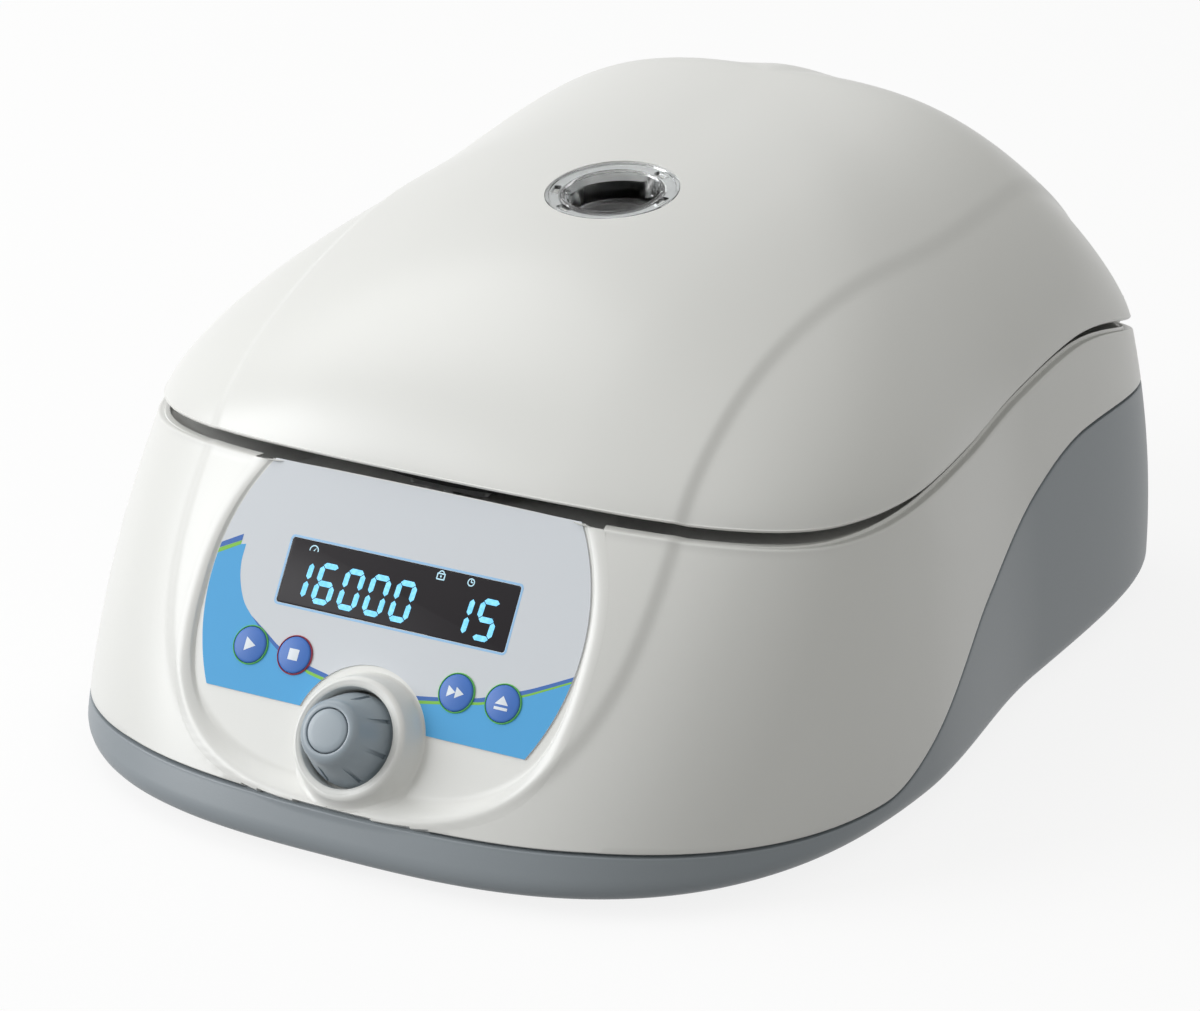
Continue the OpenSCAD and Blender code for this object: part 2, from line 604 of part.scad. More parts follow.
// Motor: a ribbed can hung under a three-eared plate on rubber bushes
plate_z = mount_top + mount_h;
plate_t = 3;
can_low = 9;
module motor_can() {
    ribs = 12;
    color(part_black) at_axis() difference() {
        rotate_extrude() polygon([[0, can_low], [motor_r - 9, can_low], [motor_r - 8, can_low + 3],
            [motor_r - 1.5, can_low + 3], [motor_r, can_low + 4.5], [motor_r, plate_z - 1.5],
            [motor_r - 1.5, plate_z], [0, plate_z]]);
        translate([0, 0, can_low + 2]) cylinder(r = shaft_r + run_fit, h = plate_z);
        for (i = [0:ribs - 1]) rotate([0, 0, 360 * i / ribs]) translate([motor_r - 1.2, -2.5, can_low + 8])
            cube([4, 5, plate_z - can_low - 14]);
    }
}
module motor_plate() {
    color(alloy) at_axis(plate_z) difference() {
        linear_extrude(plate_t) difference() {
            union() {
                circle(motor_r + 9);
                for (a = mount_angles) rotate(a) {
                    translate([0, -10]) square([mount_ring_r, 20]);
                    translate([mount_ring_r, 0]) circle(10);
                }
            }
            circle(boot_r - 6);
            for (a = [90:120:330]) rotate(a) translate([motor_r - 6, 0]) circle(3);
        }
        for (a = mount_angles) rotate([0, 0, a]) translate([mount_ring_r, 0, -cut])
            cylinder(r = screw_r + 0.2, h = plate_t + 2 * cut);
    }
}
module motor_mounts() {
    for (a = mount_angles) color(rubber_black) at_axis(mount_top) rotate([0, 0, a])
        translate([mount_ring_r, 0, 0]) rotate_extrude() polygon([[screw_r + 0.3, 0], [8, 0],
            [8, 1], [6.4, mount_h / 2], [8, mount_h - 1], [8, mount_h], [screw_r + 0.3, mount_h]]);
}
module mount_screws() {
    for (a = mount_angles) color(steel) at_axis(plate_z + plate_t) rotate([0, 0, a])
        translate([mount_ring_r, 0, 0]) pan_screw(screw_r - 0.1, plate_t + mount_h + 11);
}
module shaft_boot() {
    z = plate_z + plate_t;
    color(rubber_black) at_axis() rotate_extrude() polygon([[boot_r - 3, z], [boot_r + 3, z],
        [boot_r + 3, z + 1], [boot_r - 0.3, z + 2], [boot_r - 0.3, bowl_floor_z + 2.4],
        [boot_r - 1.2, bowl_floor_z + 3.2], [boot_r - 2, bowl_floor_z + 3.2], [boot_r - 2, z + 2]]);
}

// Rotor: a crown of inclined places on a tapered body, held on the drive shaft by a nut
hub_r = 14;
hub_h = 16;
place_r = place_d / 2;
place_wall = 3.4;
mouth_z = place_ring_r - 8.6;
ridge = place_r + place_wall;
tip_l = 9;
module drive_shaft() {
    color(steel) at_axis() rotate_extrude() polygon([[0, can_low + 3], [shaft_r, can_low + 3],
        [shaft_r, rotor_z - 4], [shaft_r + 3.5, rotor_z - 4], [shaft_r + 3.5, rotor_z],
        [shaft_r, rotor_z], [shaft_r, rotor_z + hub_h - 1], [shaft_r - 1, rotor_z + hub_h],
        [shaft_r - 1, rotor_z + hub_h + 8], [0, rotor_z + hub_h + 8]]);
}
module rotor() {
    floor_z = hub_h - 3.4;
    top_r = place_ring_r + ridge * sin(45);
    top_z = mouth_z + ridge * sin(45);
    shoulder_z = top_z - (rotor_r - top_r);
    color(alloy) at_axis(rotor_z) difference() {
        rotate_extrude($fn = 120) polygon([[shaft_r + 0.02, 0], [shaft_r + 0.02, hub_h], [hub_r - 2, hub_h],
            [hub_r, hub_h - 2], [hub_r, floor_z], [place_ring_r - (mouth_z - floor_z), floor_z],
            [top_r - 0.8, top_z - 0.8], [top_r + 0.8, top_z - 0.8], [rotor_r, shoulder_z], [rotor_r, 3],
            [rotor_r - 3, 0], [rotor_r - 15, 0], [rotor_r - 21, 5], [hub_r + 5, 5], [hub_r + 1, 0]]);
        for (i = [0:place_count - 1]) rotate([0, 0, 360 * i / place_count])
            translate([place_ring_r, 0, mouth_z]) rotate([0, -45, 0]) {
                translate([0, 0, -place_depth + tip_l]) cylinder(r = place_r, h = place_depth, $fn = 48);
                translate([0, 0, -place_depth]) cylinder(r1 = place_r / 2, r2 = place_r, h = tip_l, $fn = 48);
                translate([0, 0, -0.8]) cylinder(r = place_r + 1.1, h = 12, $fn = 48);
            }
    }
}
module rotor_nut() {
    nut_r = 9;
    nut_h = 12;
    grooves = 16;
    color(steel) at_axis(rotor_z + hub_h) difference() {
        rotate_extrude() polygon([[shaft_r - 0.95, 0], [nut_r - 1, 0], [nut_r, 1], [nut_r, nut_h - 1.5],
            [nut_r - 1.5, nut_h], [0, nut_h], [0, 8.5], [shaft_r - 0.95, 8.5]]);
        for (i = [0:grooves - 1]) rotate([0, 0, 360 * i / grooves]) translate([nut_r + 0.5, 0, 2.5])
            cylinder(r = 1, h = nut_h, $fn = 16);
    }
}

// Lid: the outer shell with its port seat, hinge lugs and bosses, and the inner lid under it
port_sink = 0.9;
clear_t = 1.2;
press_z = seal_top + fit;
liner_flat_r = 94;
boss_spots = [[2, 0.7], [40, 0.7], [56, 0.86], [70, 0.86]];
lid_lug_w = 11.4;
lid_lug_in = 4;
function boss_top(b) = raised(arch(lid_edge(b[0], wall), b[1], crown_h - wall));
module at_bosses(z) {
    for (b = boss_spots) let (p = boss_top(b)) placed() translate([p.x, p.y, z]) children();
}
module lid_shell() {
    color(shell_white) difference() {
        union() {
            placed() loft([
                lid_row(0.05, wall), lid_row(0.3, wall), lid_row(0.52, wall), lid_row(0.7, wall),
                lid_row(0.82, wall), lid_row(0.9, wall), lid_row(0.95, wall), lid_row(0.98, wall), lid_row(1, wall),
                lid_row(1, 0), lid_row(0.985, 0), lid_row(0.96, 0), lid_row(0.92, 0), lid_row(0.86, 0),
                lid_row(0.78, 0), lid_row(0.68, 0), lid_row(0.56, 0), lid_row(0.42, 0), lid_row(0.27, 0),
                lid_row(0.05, 0)
            ]);
            at_port(-5) cylinder(r = port_r + 2, h = 3.4);
            for (b = boss_spots) let (p = boss_top(b)) placed() translate([p.x, p.y, press_z + liner_t])
                cylinder(r = 3.5, h = p.z - press_z - liner_t - 0.2, $fn = 36);
            for (x = [-1, 1]) hinge_lug(x * (hinge_x - lid_lug_in), lid_lug_w, 14);
        }
        at_port(-port_sink - clear_t) cylinder(r = port_r + 0.15, h = 20);
        at_port(-20) cylinder(r = cup_r + 1.6, h = 30);
        at_bosses(press_z) cylinder(r = 1.5, h = 14);
        placed() for (x = [-1, 1]) translate([x * hinge_x - 25, hinge_y, hinge_z]) rotate([0, 90, 0])
            cylinder(r = hinge_pin_r + run_fit, h = 50);
    }
}
liner_clear = 0.8;
function liner_s(j) = 0.985 - 0.0042 * max(0, deck_z + 4.5 - lid_seam[j].z);
function liner_edge(dz) = [for (j = [0:cols - 1])
    let (p = raised(arch(lid_edge(j, wall + liner_clear), liner_s(j), crown_h - wall - liner_clear)))
        [p.x, p.y, p.z + dz]];
tube_r = cup_r + 0.2;
dome_z = press_z + 15;
module lid_liner() {
    color(part_black) difference() {
        placed() loft([
            liner_edge(-liner_t), liner_edge(0), round_row(liner_flat_r, press_z + liner_t),
            round_row(bowl_r + 1, press_z + liner_t), round_row(bowl_r - 6, press_z + 6 + liner_t),
            round_row(32, dome_z + liner_t), round_row(tube_r + 0.2, dome_z + liner_t),
            round_row(tube_r + 0.2, dome_z), round_row(32, dome_z), round_row(bowl_r - 6, press_z + 6),
            round_row(bowl_r + 1, press_z), round_row(liner_flat_r, press_z)
        ], ring = true);
        at_bosses(press_z - 5) cylinder(r = 1.8, h = 14);
    }
}
module liner_screws() {
    color(steel) at_bosses(press_z) mirror([0, 0, 1]) pan_screw(1.5, 10);
}
module port_cup() {
    windows = [-3, 62, 196, 243];
    color([0.8, 0.85, 0.88, 0.5]) at_port(-port_sink) difference() {
        rotate_extrude($fn = 96) polygon([[0, -cup_depth - clear_t], [cup_r - 0.6, -cup_depth - clear_t],
            [cup_r + 1.2, -clear_t], [port_r, -clear_t], [port_r, -0.3], [port_r - 0.3, 0], [cup_r + 0.4, 0],
            [cup_r, -0.4], [cup_r - 1.8, -cup_depth], [0, -cup_depth]]);
        for (a = windows) rotate([0, 0, a]) translate([cup_r + 2.1, -2.6, -5]) cube([2.4, 5.2, 10]);
    }
}
module light_tube() {
    color(part_black) difference() {
        at_axis() rotate_extrude() polygon([[tube_r - 1.6, dome_z - 1], [tube_r, dome_z - 1],
            [tube_r, dome_z + liner_t], [tube_r + 4, dome_z + liner_t], [tube_r + 4, dome_z + liner_t + 2],
            [tube_r, dome_z + liner_t + 2], [tube_r, port_z], [tube_r - 1.6, port_z]]);
        at_port(-port_sink - cup_depth - clear_t - fit) cylinder(r = 60, h = 60);
    }
}

// Lock: a hook on the inner lid drops through the deck, where a solenoid's bolt can hold it
hook_y = 73.4;
hook_t = 3;
bolt_z = 71;
window_w = 2 * bolt_r + 1.6;
module lid_hook() {
    color(steel) placed() {
        translate([0, hook_y, press_z - 1.6]) bar(26, 10, 1.6, 2);
        translate([-hook_t / 2, 0, 0]) rotate([90, 0, 90]) linear_extrude(hook_t) difference() {
            polygon([[hook_y - 4.4, press_z - 1.6], [hook_y - 4.4, bolt_z - 4], [hook_y - 2, bolt_z - 8],
                [hook_y + 2, bolt_z - 8], [hook_y + 4.4, bolt_z - 4], [hook_y + 4.4, press_z - 1.6]]);
            translate([hook_y, bolt_z]) square(window_w, center = true);
        }
    }
}
frame_top = deck_z - deck_t;
frame_t = 2;
guide_x = 6;
coil_x = 13;
coil_l = 34;
module lock_frame() {
    color(steel) placed() difference() {
        union() {
            translate([-guide_x - frame_t, hook_y - 6.4, frame_top - frame_t])
                cube([guide_x + coil_x + coil_l, 12.8, frame_t]);
            for (x = [-guide_x - frame_t, guide_x]) translate([x, hook_y - 6.4, bolt_z - 6])
                cube([frame_t, 12.8, frame_top - bolt_z + 6]);
        }
        translate([-4, hook_y - 5.4, frame_top - 5]) cube([8, 10.8, 10]);
        translate([-20, hook_y, bolt_z]) rotate([0, 90, 0]) cylinder(r = bolt_r + run_fit, h = 40);
    }
}
module lock_solenoid() {
    color(copper) placed() difference() {
        translate([coil_x, hook_y - 6.4, bolt_z - 7.5]) cube([coil_l, 12.8, frame_top - frame_t - bolt_z + 7.5]);
        translate([coil_x - 1, hook_y, bolt_z]) rotate([0, 90, 0]) cylinder(r = bolt_r + run_fit, h = coil_l - 2);
    }
}
module lock_bolt() {
    color(steel) placed() translate([hook_t / 2 + 1.8, hook_y, bolt_z]) rotate([0, 90, 0]) {
        cylinder(r1 = bolt_r - 0.8, r2 = bolt_r, h = 1.2);
        translate([0, 0, 1.2]) cylinder(r = bolt_r, h = coil_x + coil_l - 9);
    }
}
module lid_switch() {
    color(part_black) placed() {
        translate([-34, hook_y - 3.2, frame_top - 10]) cube([20, 6.4, 10]);
        translate([-36, hook_y - 2.2, frame_top - 11]) cube([24, 4.4, 0.6]);
        translate([-33, hook_y - 2.2, frame_top - 11]) cube([3, 4.4, 1.2]);
    }
}
module hinge_pins() {
    for (x = [-1, 1]) color(steel) placed() translate([x * hinge_x - 17.4, hinge_y, hinge_z]) rotate([0, 90, 0])
        cylinder(r = hinge_pin_r, h = 34.8);
}

// A helical spring round each hinge pin, with its ends run straight into the lugs
spring_turns = 3;
spring_wire = 0.7;
spring_mean = 3.5;
spring_from = 2.5;
spring_to = 9.4;
module coil_spring() {
    per_turn = 16;
    sides = 6;
    n = spring_turns * per_turn;
    length = spring_to - spring_from - 2 * spring_wire;
    rings = concat([for (i = [0:n]) let (a = 360 * i / per_turn)
        [for (k = [0:sides - 1]) let (b = 360 * k / sides, r = spring_mean + spring_wire * cos(b))
            [r * cos(a), r * sin(a), spring_wire + length * i / n + spring_wire * sin(b)]]]);
    loft(rings);
}
module lid_springs() {
    for (x = [-1, 1]) color(steel) placed()
        translate([x * hinge_x + (x > 0 ? spring_from : -spring_to), hinge_y, hinge_z]) rotate([0, 90, 0])
            coil_spring();
}

// Panel: the printed overlay, the display, the keys and the board behind them
module panel_overlay() {
    color([0.86, 0.88, 0.91]) on_panel() linear_extrude(overlay_t) difference() {
        side_arcs(0, -overlay_low, overlay_high);
        translate([0, -knob_drop]) circle(collar_r + 0.4);
        translate([0, display_v]) rounded(display_w + fit, display_h + fit, 0.8);
        key_spots() circle(key_d / 2 + 0.2);
    }
}
module display_window() {
    color(part_black) on_panel(0, display_v, -window_sink)
        bar(display_w, display_h, window_sink + overlay_t, 0.7);
}
module display_module() {
    color(part_black) on_panel(0, display_v) {
        translate([0, 0, 1 - board_h]) bar(display_w + 6, display_h + 5, 7, 1);
        translate([0, 0, 7 - board_h]) bar(display_w - 4, display_h - 4, board_h - 10, 0.5);
    }
}
board_t = 1.6;
module control_board() {
    color(board_green) on_panel(0, 0, -board_h - board_t) linear_extrude(board_t) difference() {
        polygon([[-55, 30], [-55, -8], [-42, -30], [42, -30], [55, -8], [55, 30]]);
        for (p = board_spots) translate(p) circle(1.2, $fn = 24);
    }
}
module key_switches() {
    color(part_black) on_panel(0, 0, -board_h) key_spots() {
        bar(6, 6, 3.6, 0.4);
        cylinder(r = 1.7, h = board_h - 8, $fn = 32);
    }
}
module key(x) {
    r = key_d / 2;
    dome_h = 0.9;
    dome = (r * r + dome_h * dome_h) / (2 * dome_h);
    color(key_blue) on_panel(x) rotate_extrude() polygon(concat(
        [[0, key_travel + 0.05 - 8], [2.5, key_travel + 0.05 - 8], [2.5, -panel_t - 1.2], [r + 1, -panel_t - 1.2],
         [r + 1, -panel_t - 0.4], [r, -panel_t - 0.4], [r, key_rim_h - 0.3]],
        [for (a = [asin((r - 0.3) / dome):-3:0]) [dome * sin(a), key_rim_h + dome_h + dome * (cos(a) - 1)]],
        [[0, key_rim_h + dome_h]]));
}
module key_start() {
    key(-key_outer_x);
}
module key_stop() {
    key(-key_inner_x);
}
module key_quick() {
    key(key_inner_x);
}
module key_open() {
    key(key_outer_x);
}

// Knob: an encoder on the board, its turning hub, a sliding shaft and the grooved knob
hub_out = 3.6;
stem_r = 2.5;
encoder_floor = 1.5;
module encoder_body() {
    color(part_black) on_panel(0, -knob_drop) difference() {
        union() {
            translate([0, 0, -board_h]) bar(12, 12, board_h - cup_floor - cup_t - 0.5, 0.5);
            translate([0, 0, -board_h + 1]) cylinder(r = bush_r, h = board_h - 3.4);
            translate([0, 0, -cup_floor]) cylinder(r = 6.4, h = 1.4, $fn = 6);
        }
        translate([0, 0, -board_h + encoder_floor]) cylinder(r = hub_out + run_fit, h = board_h);
    }
}
module encoder_hub() {
    color(alloy) on_panel(0, -knob_drop, -board_h + encoder_floor + 0.1) difference() {
        cylinder(r = hub_out, h = board_h - encoder_floor - 2.2);
        translate([0, 0, -cut]) cylinder(r = stem_r + run_fit, h = board_h);
    }
}
module knob_shaft() {
    color(steel) on_panel(0, -knob_drop, -board_h + encoder_floor + knob_travel + 0.2)
        cylinder(r = stem_r, h = board_h - encoder_floor - knob_travel + 8.8);
}
module knob() {
    low = 1 - cup_floor;
    cap_z = knob_h - 2.2;
    ring_r = knob_cap_r + 0.5;
    socket_z = -1.2;
    groove_z = 6.5;
    color(knob_grey) on_panel(0, -knob_drop) difference() {
        rotate_extrude($fn = 96) polygon([[stem_r + 0.02, socket_z], [stem_r + 0.02, 9.1], [0, 9.1], [0, cap_z],
            [ring_r, cap_z], [ring_r, knob_h - 0.5], [ring_r + 0.3, knob_h - 0.3],
            [ring_r + 0.9, knob_h - 0.5], nose_edge, [knob_nose_r - 1.5, knob_h - 2.1],
            [knob_nose_r - 0.7, knob_h - 3.3], [knob_nose_r - 0.2, knob_h - 4.6], [knob_nose_r, 12],
            [knob_r - 0.8, 9], [knob_r, 4.5], [knob_r, low + 0.8], [knob_r - 0.5, low], [knob_r - 1.7, low],
            [knob_r - 2.2, 7.5], [knob_nose_r - 2.2, 11], [6, 12.4], [5, 11.5], [5, socket_z]]);
        for (i = [0:grip_count - 1]) rotate([0, 0, 360 * (i + 0.25) / grip_count])
            translate([knob_r - 1.2, -0.4, groove_z]) rotate([0, -10, 0]) cube([3, 0.8, 4.6]);
    }
}
module knob_cap() {
    dome = 40;
    color(knob_grey) on_panel(0, -knob_drop, knob_h - 2.2) rotate_extrude($fn = 96) polygon(concat(
        [[0, 0], [knob_cap_r, 0], [knob_cap_r, 1.7]],
        [for (r = [knob_cap_r - 0.3:-0.8:0]) [r, 2.4 + sqrt(dome * dome - r * r) - dome]],
        [[0, 2.4]]));
}

// Rear: the power inlet with its pins and fuse drawer, and the rocker switch
socket_v = -4.5;
drawer_v = 9.8;
drawer_h = 7;
inlet_deep = 18;
pin_x = 7;
module inlet_pin_spots() {
    for (x = [-pin_x, 0, pin_x]) translate([x, socket_v + (x == 0 ? 2.5 : -1.5), 0]) children();
}
module power_inlet() {
    color(part_black) at_rear(inlet_x, inlet_z, seat_proud) difference() {
        union() {
            bar(inlet_w, inlet_h, 2, 2.5);
            translate([0, 0, -inlet_deep]) bar(socket_w + 2, inlet_h - 6, inlet_deep + 0.5, 1.2);
        }
        translate([0, socket_v, -inlet_deep + 1.6]) linear_extrude(inlet_deep + 2)
            polygon([[-socket_w / 2, -8], [socket_w / 2, -8], [socket_w / 2, 4.5], [socket_w / 2 - 3.5, 8],
                [3.5 - socket_w / 2, 8], [-socket_w / 2, 4.5]]);
        translate([0, drawer_v, -inlet_deep + 4]) bar(20 + fit, drawer_h + fit, inlet_deep + 2, 0.6);
        translate([0, 0, -inlet_deep - cut]) inlet_pin_spots() bar(2.1, 4.1, 5, 0.4);
    }
}
module inlet_pins() {
    color(steel) at_rear(inlet_x, inlet_z, seat_proud - inlet_deep - 3) inlet_pin_spots() bar(2, 4, inlet_deep - 1, 0.4);
}
module fuse_drawer() {
    color(part_black) at_rear(inlet_x, inlet_z, seat_proud) difference() {
        translate([0, drawer_v, -inlet_deep + 4.4]) bar(20, drawer_h, inlet_deep - 2, 0.6);
        translate([-4, drawer_v - 1, 1.2]) cube([8, 2, 2]);
    }
}
rocker_half = 6.9;
pivot_out = 0.6;
module switch_frame() {
    color(part_black) at_rear(switch_x, inlet_z, seat_proud) difference() {
        union() {
            bar(switch_w, switch_h, 2.2, 1.5);
            translate([0, 0, -12]) bar(switch_w - 3, switch_h - 3, 12.5, 0.8);
        }
        translate([0, 0, -11]) bar(switch_w - 5, switch_h - 5, 20, 0.4);
        translate([-switch_w / 2 + 1.8, 0, pivot_out]) rotate([0, 90, 0])
            cylinder(r = 1.5 + run_fit, h = switch_w - 3.6);
    }
}
module switch_rocker() {
    w = switch_w - 5.6;
    color(part_black) at_rear(switch_x, inlet_z, seat_proud + pivot_out) rotate([-rocker_swing / 2, 0, 0]) {
        rotate([90, 0, 90]) translate([0, 0, -w / 2]) linear_extrude(w)
            polygon([[-rocker_half, -3], [rocker_half, -3], [rocker_half, 3.2], [0, 1.7], [-rocker_half, 3.2]]);
        translate([-w / 2 - 0.9, 0, 0]) rotate([0, 90, 0]) cylinder(r = 1.5, h = w + 1.8);
    }
}

// Mains board behind the chamber, on four posts, and the imbalance switch beside the motor
mains_z = 10;
mains_t = 1.6;
mains_x = [-88, -4];
mains_y = [250, 312];
mains_posts = [for (x = mains_x + [4, -4], y = mains_y + [4, -4]) [x, y]];
mains_top = mains_z + mains_t;
module board_posts() {
    for (p = mains_posts) color(steel) placed() translate([p.x, p.y, floor_t]) {
        cylinder(r = 3, h = mains_z - floor_t, $fn = 6);
        cylinder(r = 1.5, h = mains_z - floor_t + 4, $fn = 24);
    }
}
module power_board() {
    color(board_green) placed() translate([0, 0, mains_z]) linear_extrude(mains_t) difference() {
        translate([mains_x[0], mains_y[0]]) square([mains_x[1] - mains_x[0], mains_y[1] - mains_y[0]]);
        for (p = mains_posts) translate(p) circle(1.6, $fn = 24);
    }
}
module transformer() {
    color(copper) placed() translate([-62, 272, mains_top]) {
        translate([-18, -14, 2]) difference() {
            cube([36, 28, 30]);
            for (x = [6, 24]) translate([x, -cut, 5]) cube([6, 30, 20]);
        }
        translate([0, 0, 15]) bar(23, 34, 4, 2);
        translate([-14, -16, 0]) cube([28, 32, 2.2]);
    }
}
module capacitors() {
    for (y = [260, 280]) color(key_blue) placed() translate([-22, y, mains_top]) rotate_extrude() polygon([
        [0, 0], [8, 0], [8, 2], [7.5, 2.6], [8, 3.2], [8, 29.4], [7.4, 30], [0, 30]]);
}
module heat_sink() {
    fins = 8;
    color(alloy) placed() translate([-74, 294, mains_top]) {
        cube([58, 3, 28]);
        for (i = [0:fins - 1]) translate([i * 8, 2.5, 0]) cube([2, 11, 28]);
    }
}
module imbalance_switch() {
    color(part_black) at_axis(floor_t) rotate([0, 0, 210]) {
        translate([51, -4, 0]) cube([3, 8, 34]);
        translate([49, -10, 33]) cube([6.4, 20, 10]);
        translate([motor_r + 9.6, -8, 40]) cube([4, 4, 0.8]);
    }
}

base_shell();
upper_housing();
rubber_feet();
base_screws();
chamber_bowl();
bowl_gasket();
motor_can();
motor_plate();
motor_mounts();
mount_screws();
shaft_boot();
drive_shaft();
rotor();
rotor_nut();
lid_shell();
lid_liner();
liner_screws();
port_cup();
light_tube();
lid_hook();
hinge_pins();
lid_springs();
lock_frame();
lock_solenoid();
lock_bolt();
lid_switch();
panel_overlay();
display_window();
display_module();
control_board();
key_switches();
key_start();
key_stop();
key_quick();
key_open();
encoder_body();
encoder_hub();
knob_shaft();
knob();
knob_cap();
power_inlet();
inlet_pins();
fuse_drawer();
switch_frame();
switch_rocker();
power_board();
transformer();
capacitors();
heat_sink();
board_posts();
imbalance_switch();
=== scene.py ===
import math

import bmesh
import bpy
import numpy as np
from mathutils import Matrix, Vector
from mathutils.bvhtree import BVHTree


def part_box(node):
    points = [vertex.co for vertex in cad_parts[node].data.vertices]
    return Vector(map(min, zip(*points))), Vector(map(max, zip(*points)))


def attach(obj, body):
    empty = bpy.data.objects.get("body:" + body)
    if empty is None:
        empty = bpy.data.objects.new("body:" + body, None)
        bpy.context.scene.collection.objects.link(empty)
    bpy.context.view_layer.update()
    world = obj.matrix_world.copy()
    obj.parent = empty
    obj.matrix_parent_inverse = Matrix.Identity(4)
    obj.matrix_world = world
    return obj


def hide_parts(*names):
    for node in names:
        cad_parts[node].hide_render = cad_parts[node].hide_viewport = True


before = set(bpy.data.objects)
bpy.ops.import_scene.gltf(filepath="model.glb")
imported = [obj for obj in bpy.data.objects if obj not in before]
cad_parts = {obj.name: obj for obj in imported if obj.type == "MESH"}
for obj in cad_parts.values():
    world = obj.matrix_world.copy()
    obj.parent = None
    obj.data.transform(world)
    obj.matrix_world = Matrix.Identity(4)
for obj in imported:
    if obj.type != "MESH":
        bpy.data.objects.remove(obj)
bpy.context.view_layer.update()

# Base: a deep tray moulded in blue-grey ABS whose edge sweeps up towards the rear.
# The upper housing sits over a lip inside its edge, and feet, vents, the inlet and the
# switch are moulded in. All sizes are millimetres in the maker's frame, z from the tray's foot.
FOOT_H, WALL, BASE_ROUND = 4.0, 2.8, 6.8
BODY_W, BODY_LEN, WIDEST_Y = 255.5, 326.4, 135.9
AXIS_Y, ORIGIN_Y = 161.4, 168.035
REAR_POWER, REAR_TAPER = 7.1, 0.062
STRIP_HALF, STRIP_FLARE, STRIP_POWER, STRIP_SCALE, STRIP_STEP, STRIP_SOFT = 76.4, 9, 2.6, 62, 1.0, 0.8
COLS = 720
ANGLES = np.arange(COLS) * 2 * np.pi / COLS
FRONT, REAR = COLS * 3 // 4, COLS // 4
STATIONS = np.array([0.05, 0.28, 0.5, 0.75, 1.0]) * BODY_LEN
BASE_GAP, LID_GAP, FINGER_GAP = 0.8, 1.2, 2.0


def smooth(u):
    """Eases from 0 to 1."""
    c = np.clip(u, 0, 1)
    return c * c * (3 - 2 * c)


def tuck(z):
    """How far the base's rounded foot is drawn in at a height."""
    inside = BASE_ROUND ** 2 - (BASE_ROUND - z) ** 2
    return np.where(z < BASE_ROUND, BASE_ROUND - np.sqrt(np.maximum(0, inside)), 0)


def front_y(z):
    return 0.41 * z + 0.00245 * z * z + tuck(z)


def rear_y(z):
    return BODY_LEN + 0.046 * z - 0.00121 * z * z - tuck(z)


def half_w(z):
    return BODY_W / 2 + 0.04 * z - 0.00152 * z * z - tuck(z)


def outline(z, t=0.0):
    """The body's plan at height z, moved inwards by t, as x and y."""
    z = np.broadcast_to(np.asarray(z, float), ANGLES.shape)
    c, s = np.cos(ANGLES), np.sin(ANGLES)
    n = np.where(s < 0, 2.83 + 0.0015 * z, REAR_POWER)
    r = (np.abs(c) ** n + np.abs(s) ** n) ** (-1 / n)
    reach = np.where(s < 0, WIDEST_Y - front_y(z) - t, rear_y(z) - t - WIDEST_Y)
    y = WIDEST_Y + reach * r * s
    return (half_w(z) - t) * r * c * (1 - REAR_TAPER * smooth((y - 118) / 88.5)), y


def sweep(heights, y):
    """A smooth curve through the seam's heights that never overshoots them."""
    rise = np.diff(heights) / np.diff(STATIONS)
    tangent = [rise[0]]
    for before, after in zip(rise[:-1], rise[1:]):
        tangent.append(0 if before * after <= 0 else 2 * before * after / (before + after))
    tangent = np.array(tangent + [rise[-1]])
    i = np.clip(np.searchsorted(STATIONS, y) - 1, 0, len(STATIONS) - 2)
    w = STATIONS[i + 1] - STATIONS[i]
    t = np.clip((y - STATIONS[i]) / w, 0, 1)
    u = 1 - t
    h = np.asarray(heights)
    return (h[i] * (1 + 2 * t) * u * u + h[i + 1] * (3 - 2 * t) * t * t
            + w * (tangent[i] * t * u * u - tangent[i + 1] * t * t * u))


def seam(heights):
    """The points of a seam round the body, from its heights at the stations."""
    z = np.full(COLS, 60.0)
    for _ in range(14):
        z = 0.3 * z + 0.7 * sweep(heights, outline(z)[1])
    x, y = outline(z)
    return np.stack([x, y, z], 1)


def raised(p):
    """Points moved out by the raised centre strip, which falls away softly at its edge."""
    x, y, z = p[..., 0], p[..., 1], p[..., 2]
    half = STRIP_HALF + STRIP_FLARE * smooth((y - 95) / 150)
    foot = np.where(y < WIDEST_Y, np.maximum(0, (87 - z) / 74.5), 0)
    reach = ((np.abs(x) / half) ** STRIP_POWER + foot ** STRIP_POWER) ** (1 / STRIP_POWER)
    past = (reach - 1) * STRIP_SCALE
    tail = np.where(y > 200, smooth((z - 50) / 25), 1)
    way = np.stack([0.4 * x, y - np.clip(y, 130, 250), z - 30], -1)
    way /= np.linalg.norm(way, axis=-1, keepdims=True)
    rise = STRIP_STEP * (1 - smooth((past + 2.0) / 3.4)) + STRIP_SOFT * (1 - smooth((past + 30) / 30))
    return p + (tail * rise)[..., None] * way


def row(z, t=0.0):
    x, y = outline(z, t)
    return raised(np.stack([x, y, np.broadcast_to(z, x.shape)], 1))


def inward():
    """The way into the body from each column, in plan."""
    a, b = np.stack(outline(60.0), 1), np.stack(outline(60.0, 1.0), 1)
    way = (b - a) / np.linalg.norm(b - a, axis=1, keepdims=True)
    return np.column_stack([way, np.zeros(COLS)])


def edge_rows(last, r, up, steps=4):
    """Rows that round an edge over from the row last, by radius r, upwards or downwards."""
    turns = np.arange(1, steps + 1) * math.pi / 2 / steps
    return [last + inward() * r * (1 - math.cos(a)) + np.array([0, 0, up * r * math.sin(a)]) for a in turns]


def place(points):
    """From the maker's frame in millimetres to the model's frame in metres."""
    return (np.asarray(points, float) - [0, ORIGIN_Y, -FOOT_H]) / 1000


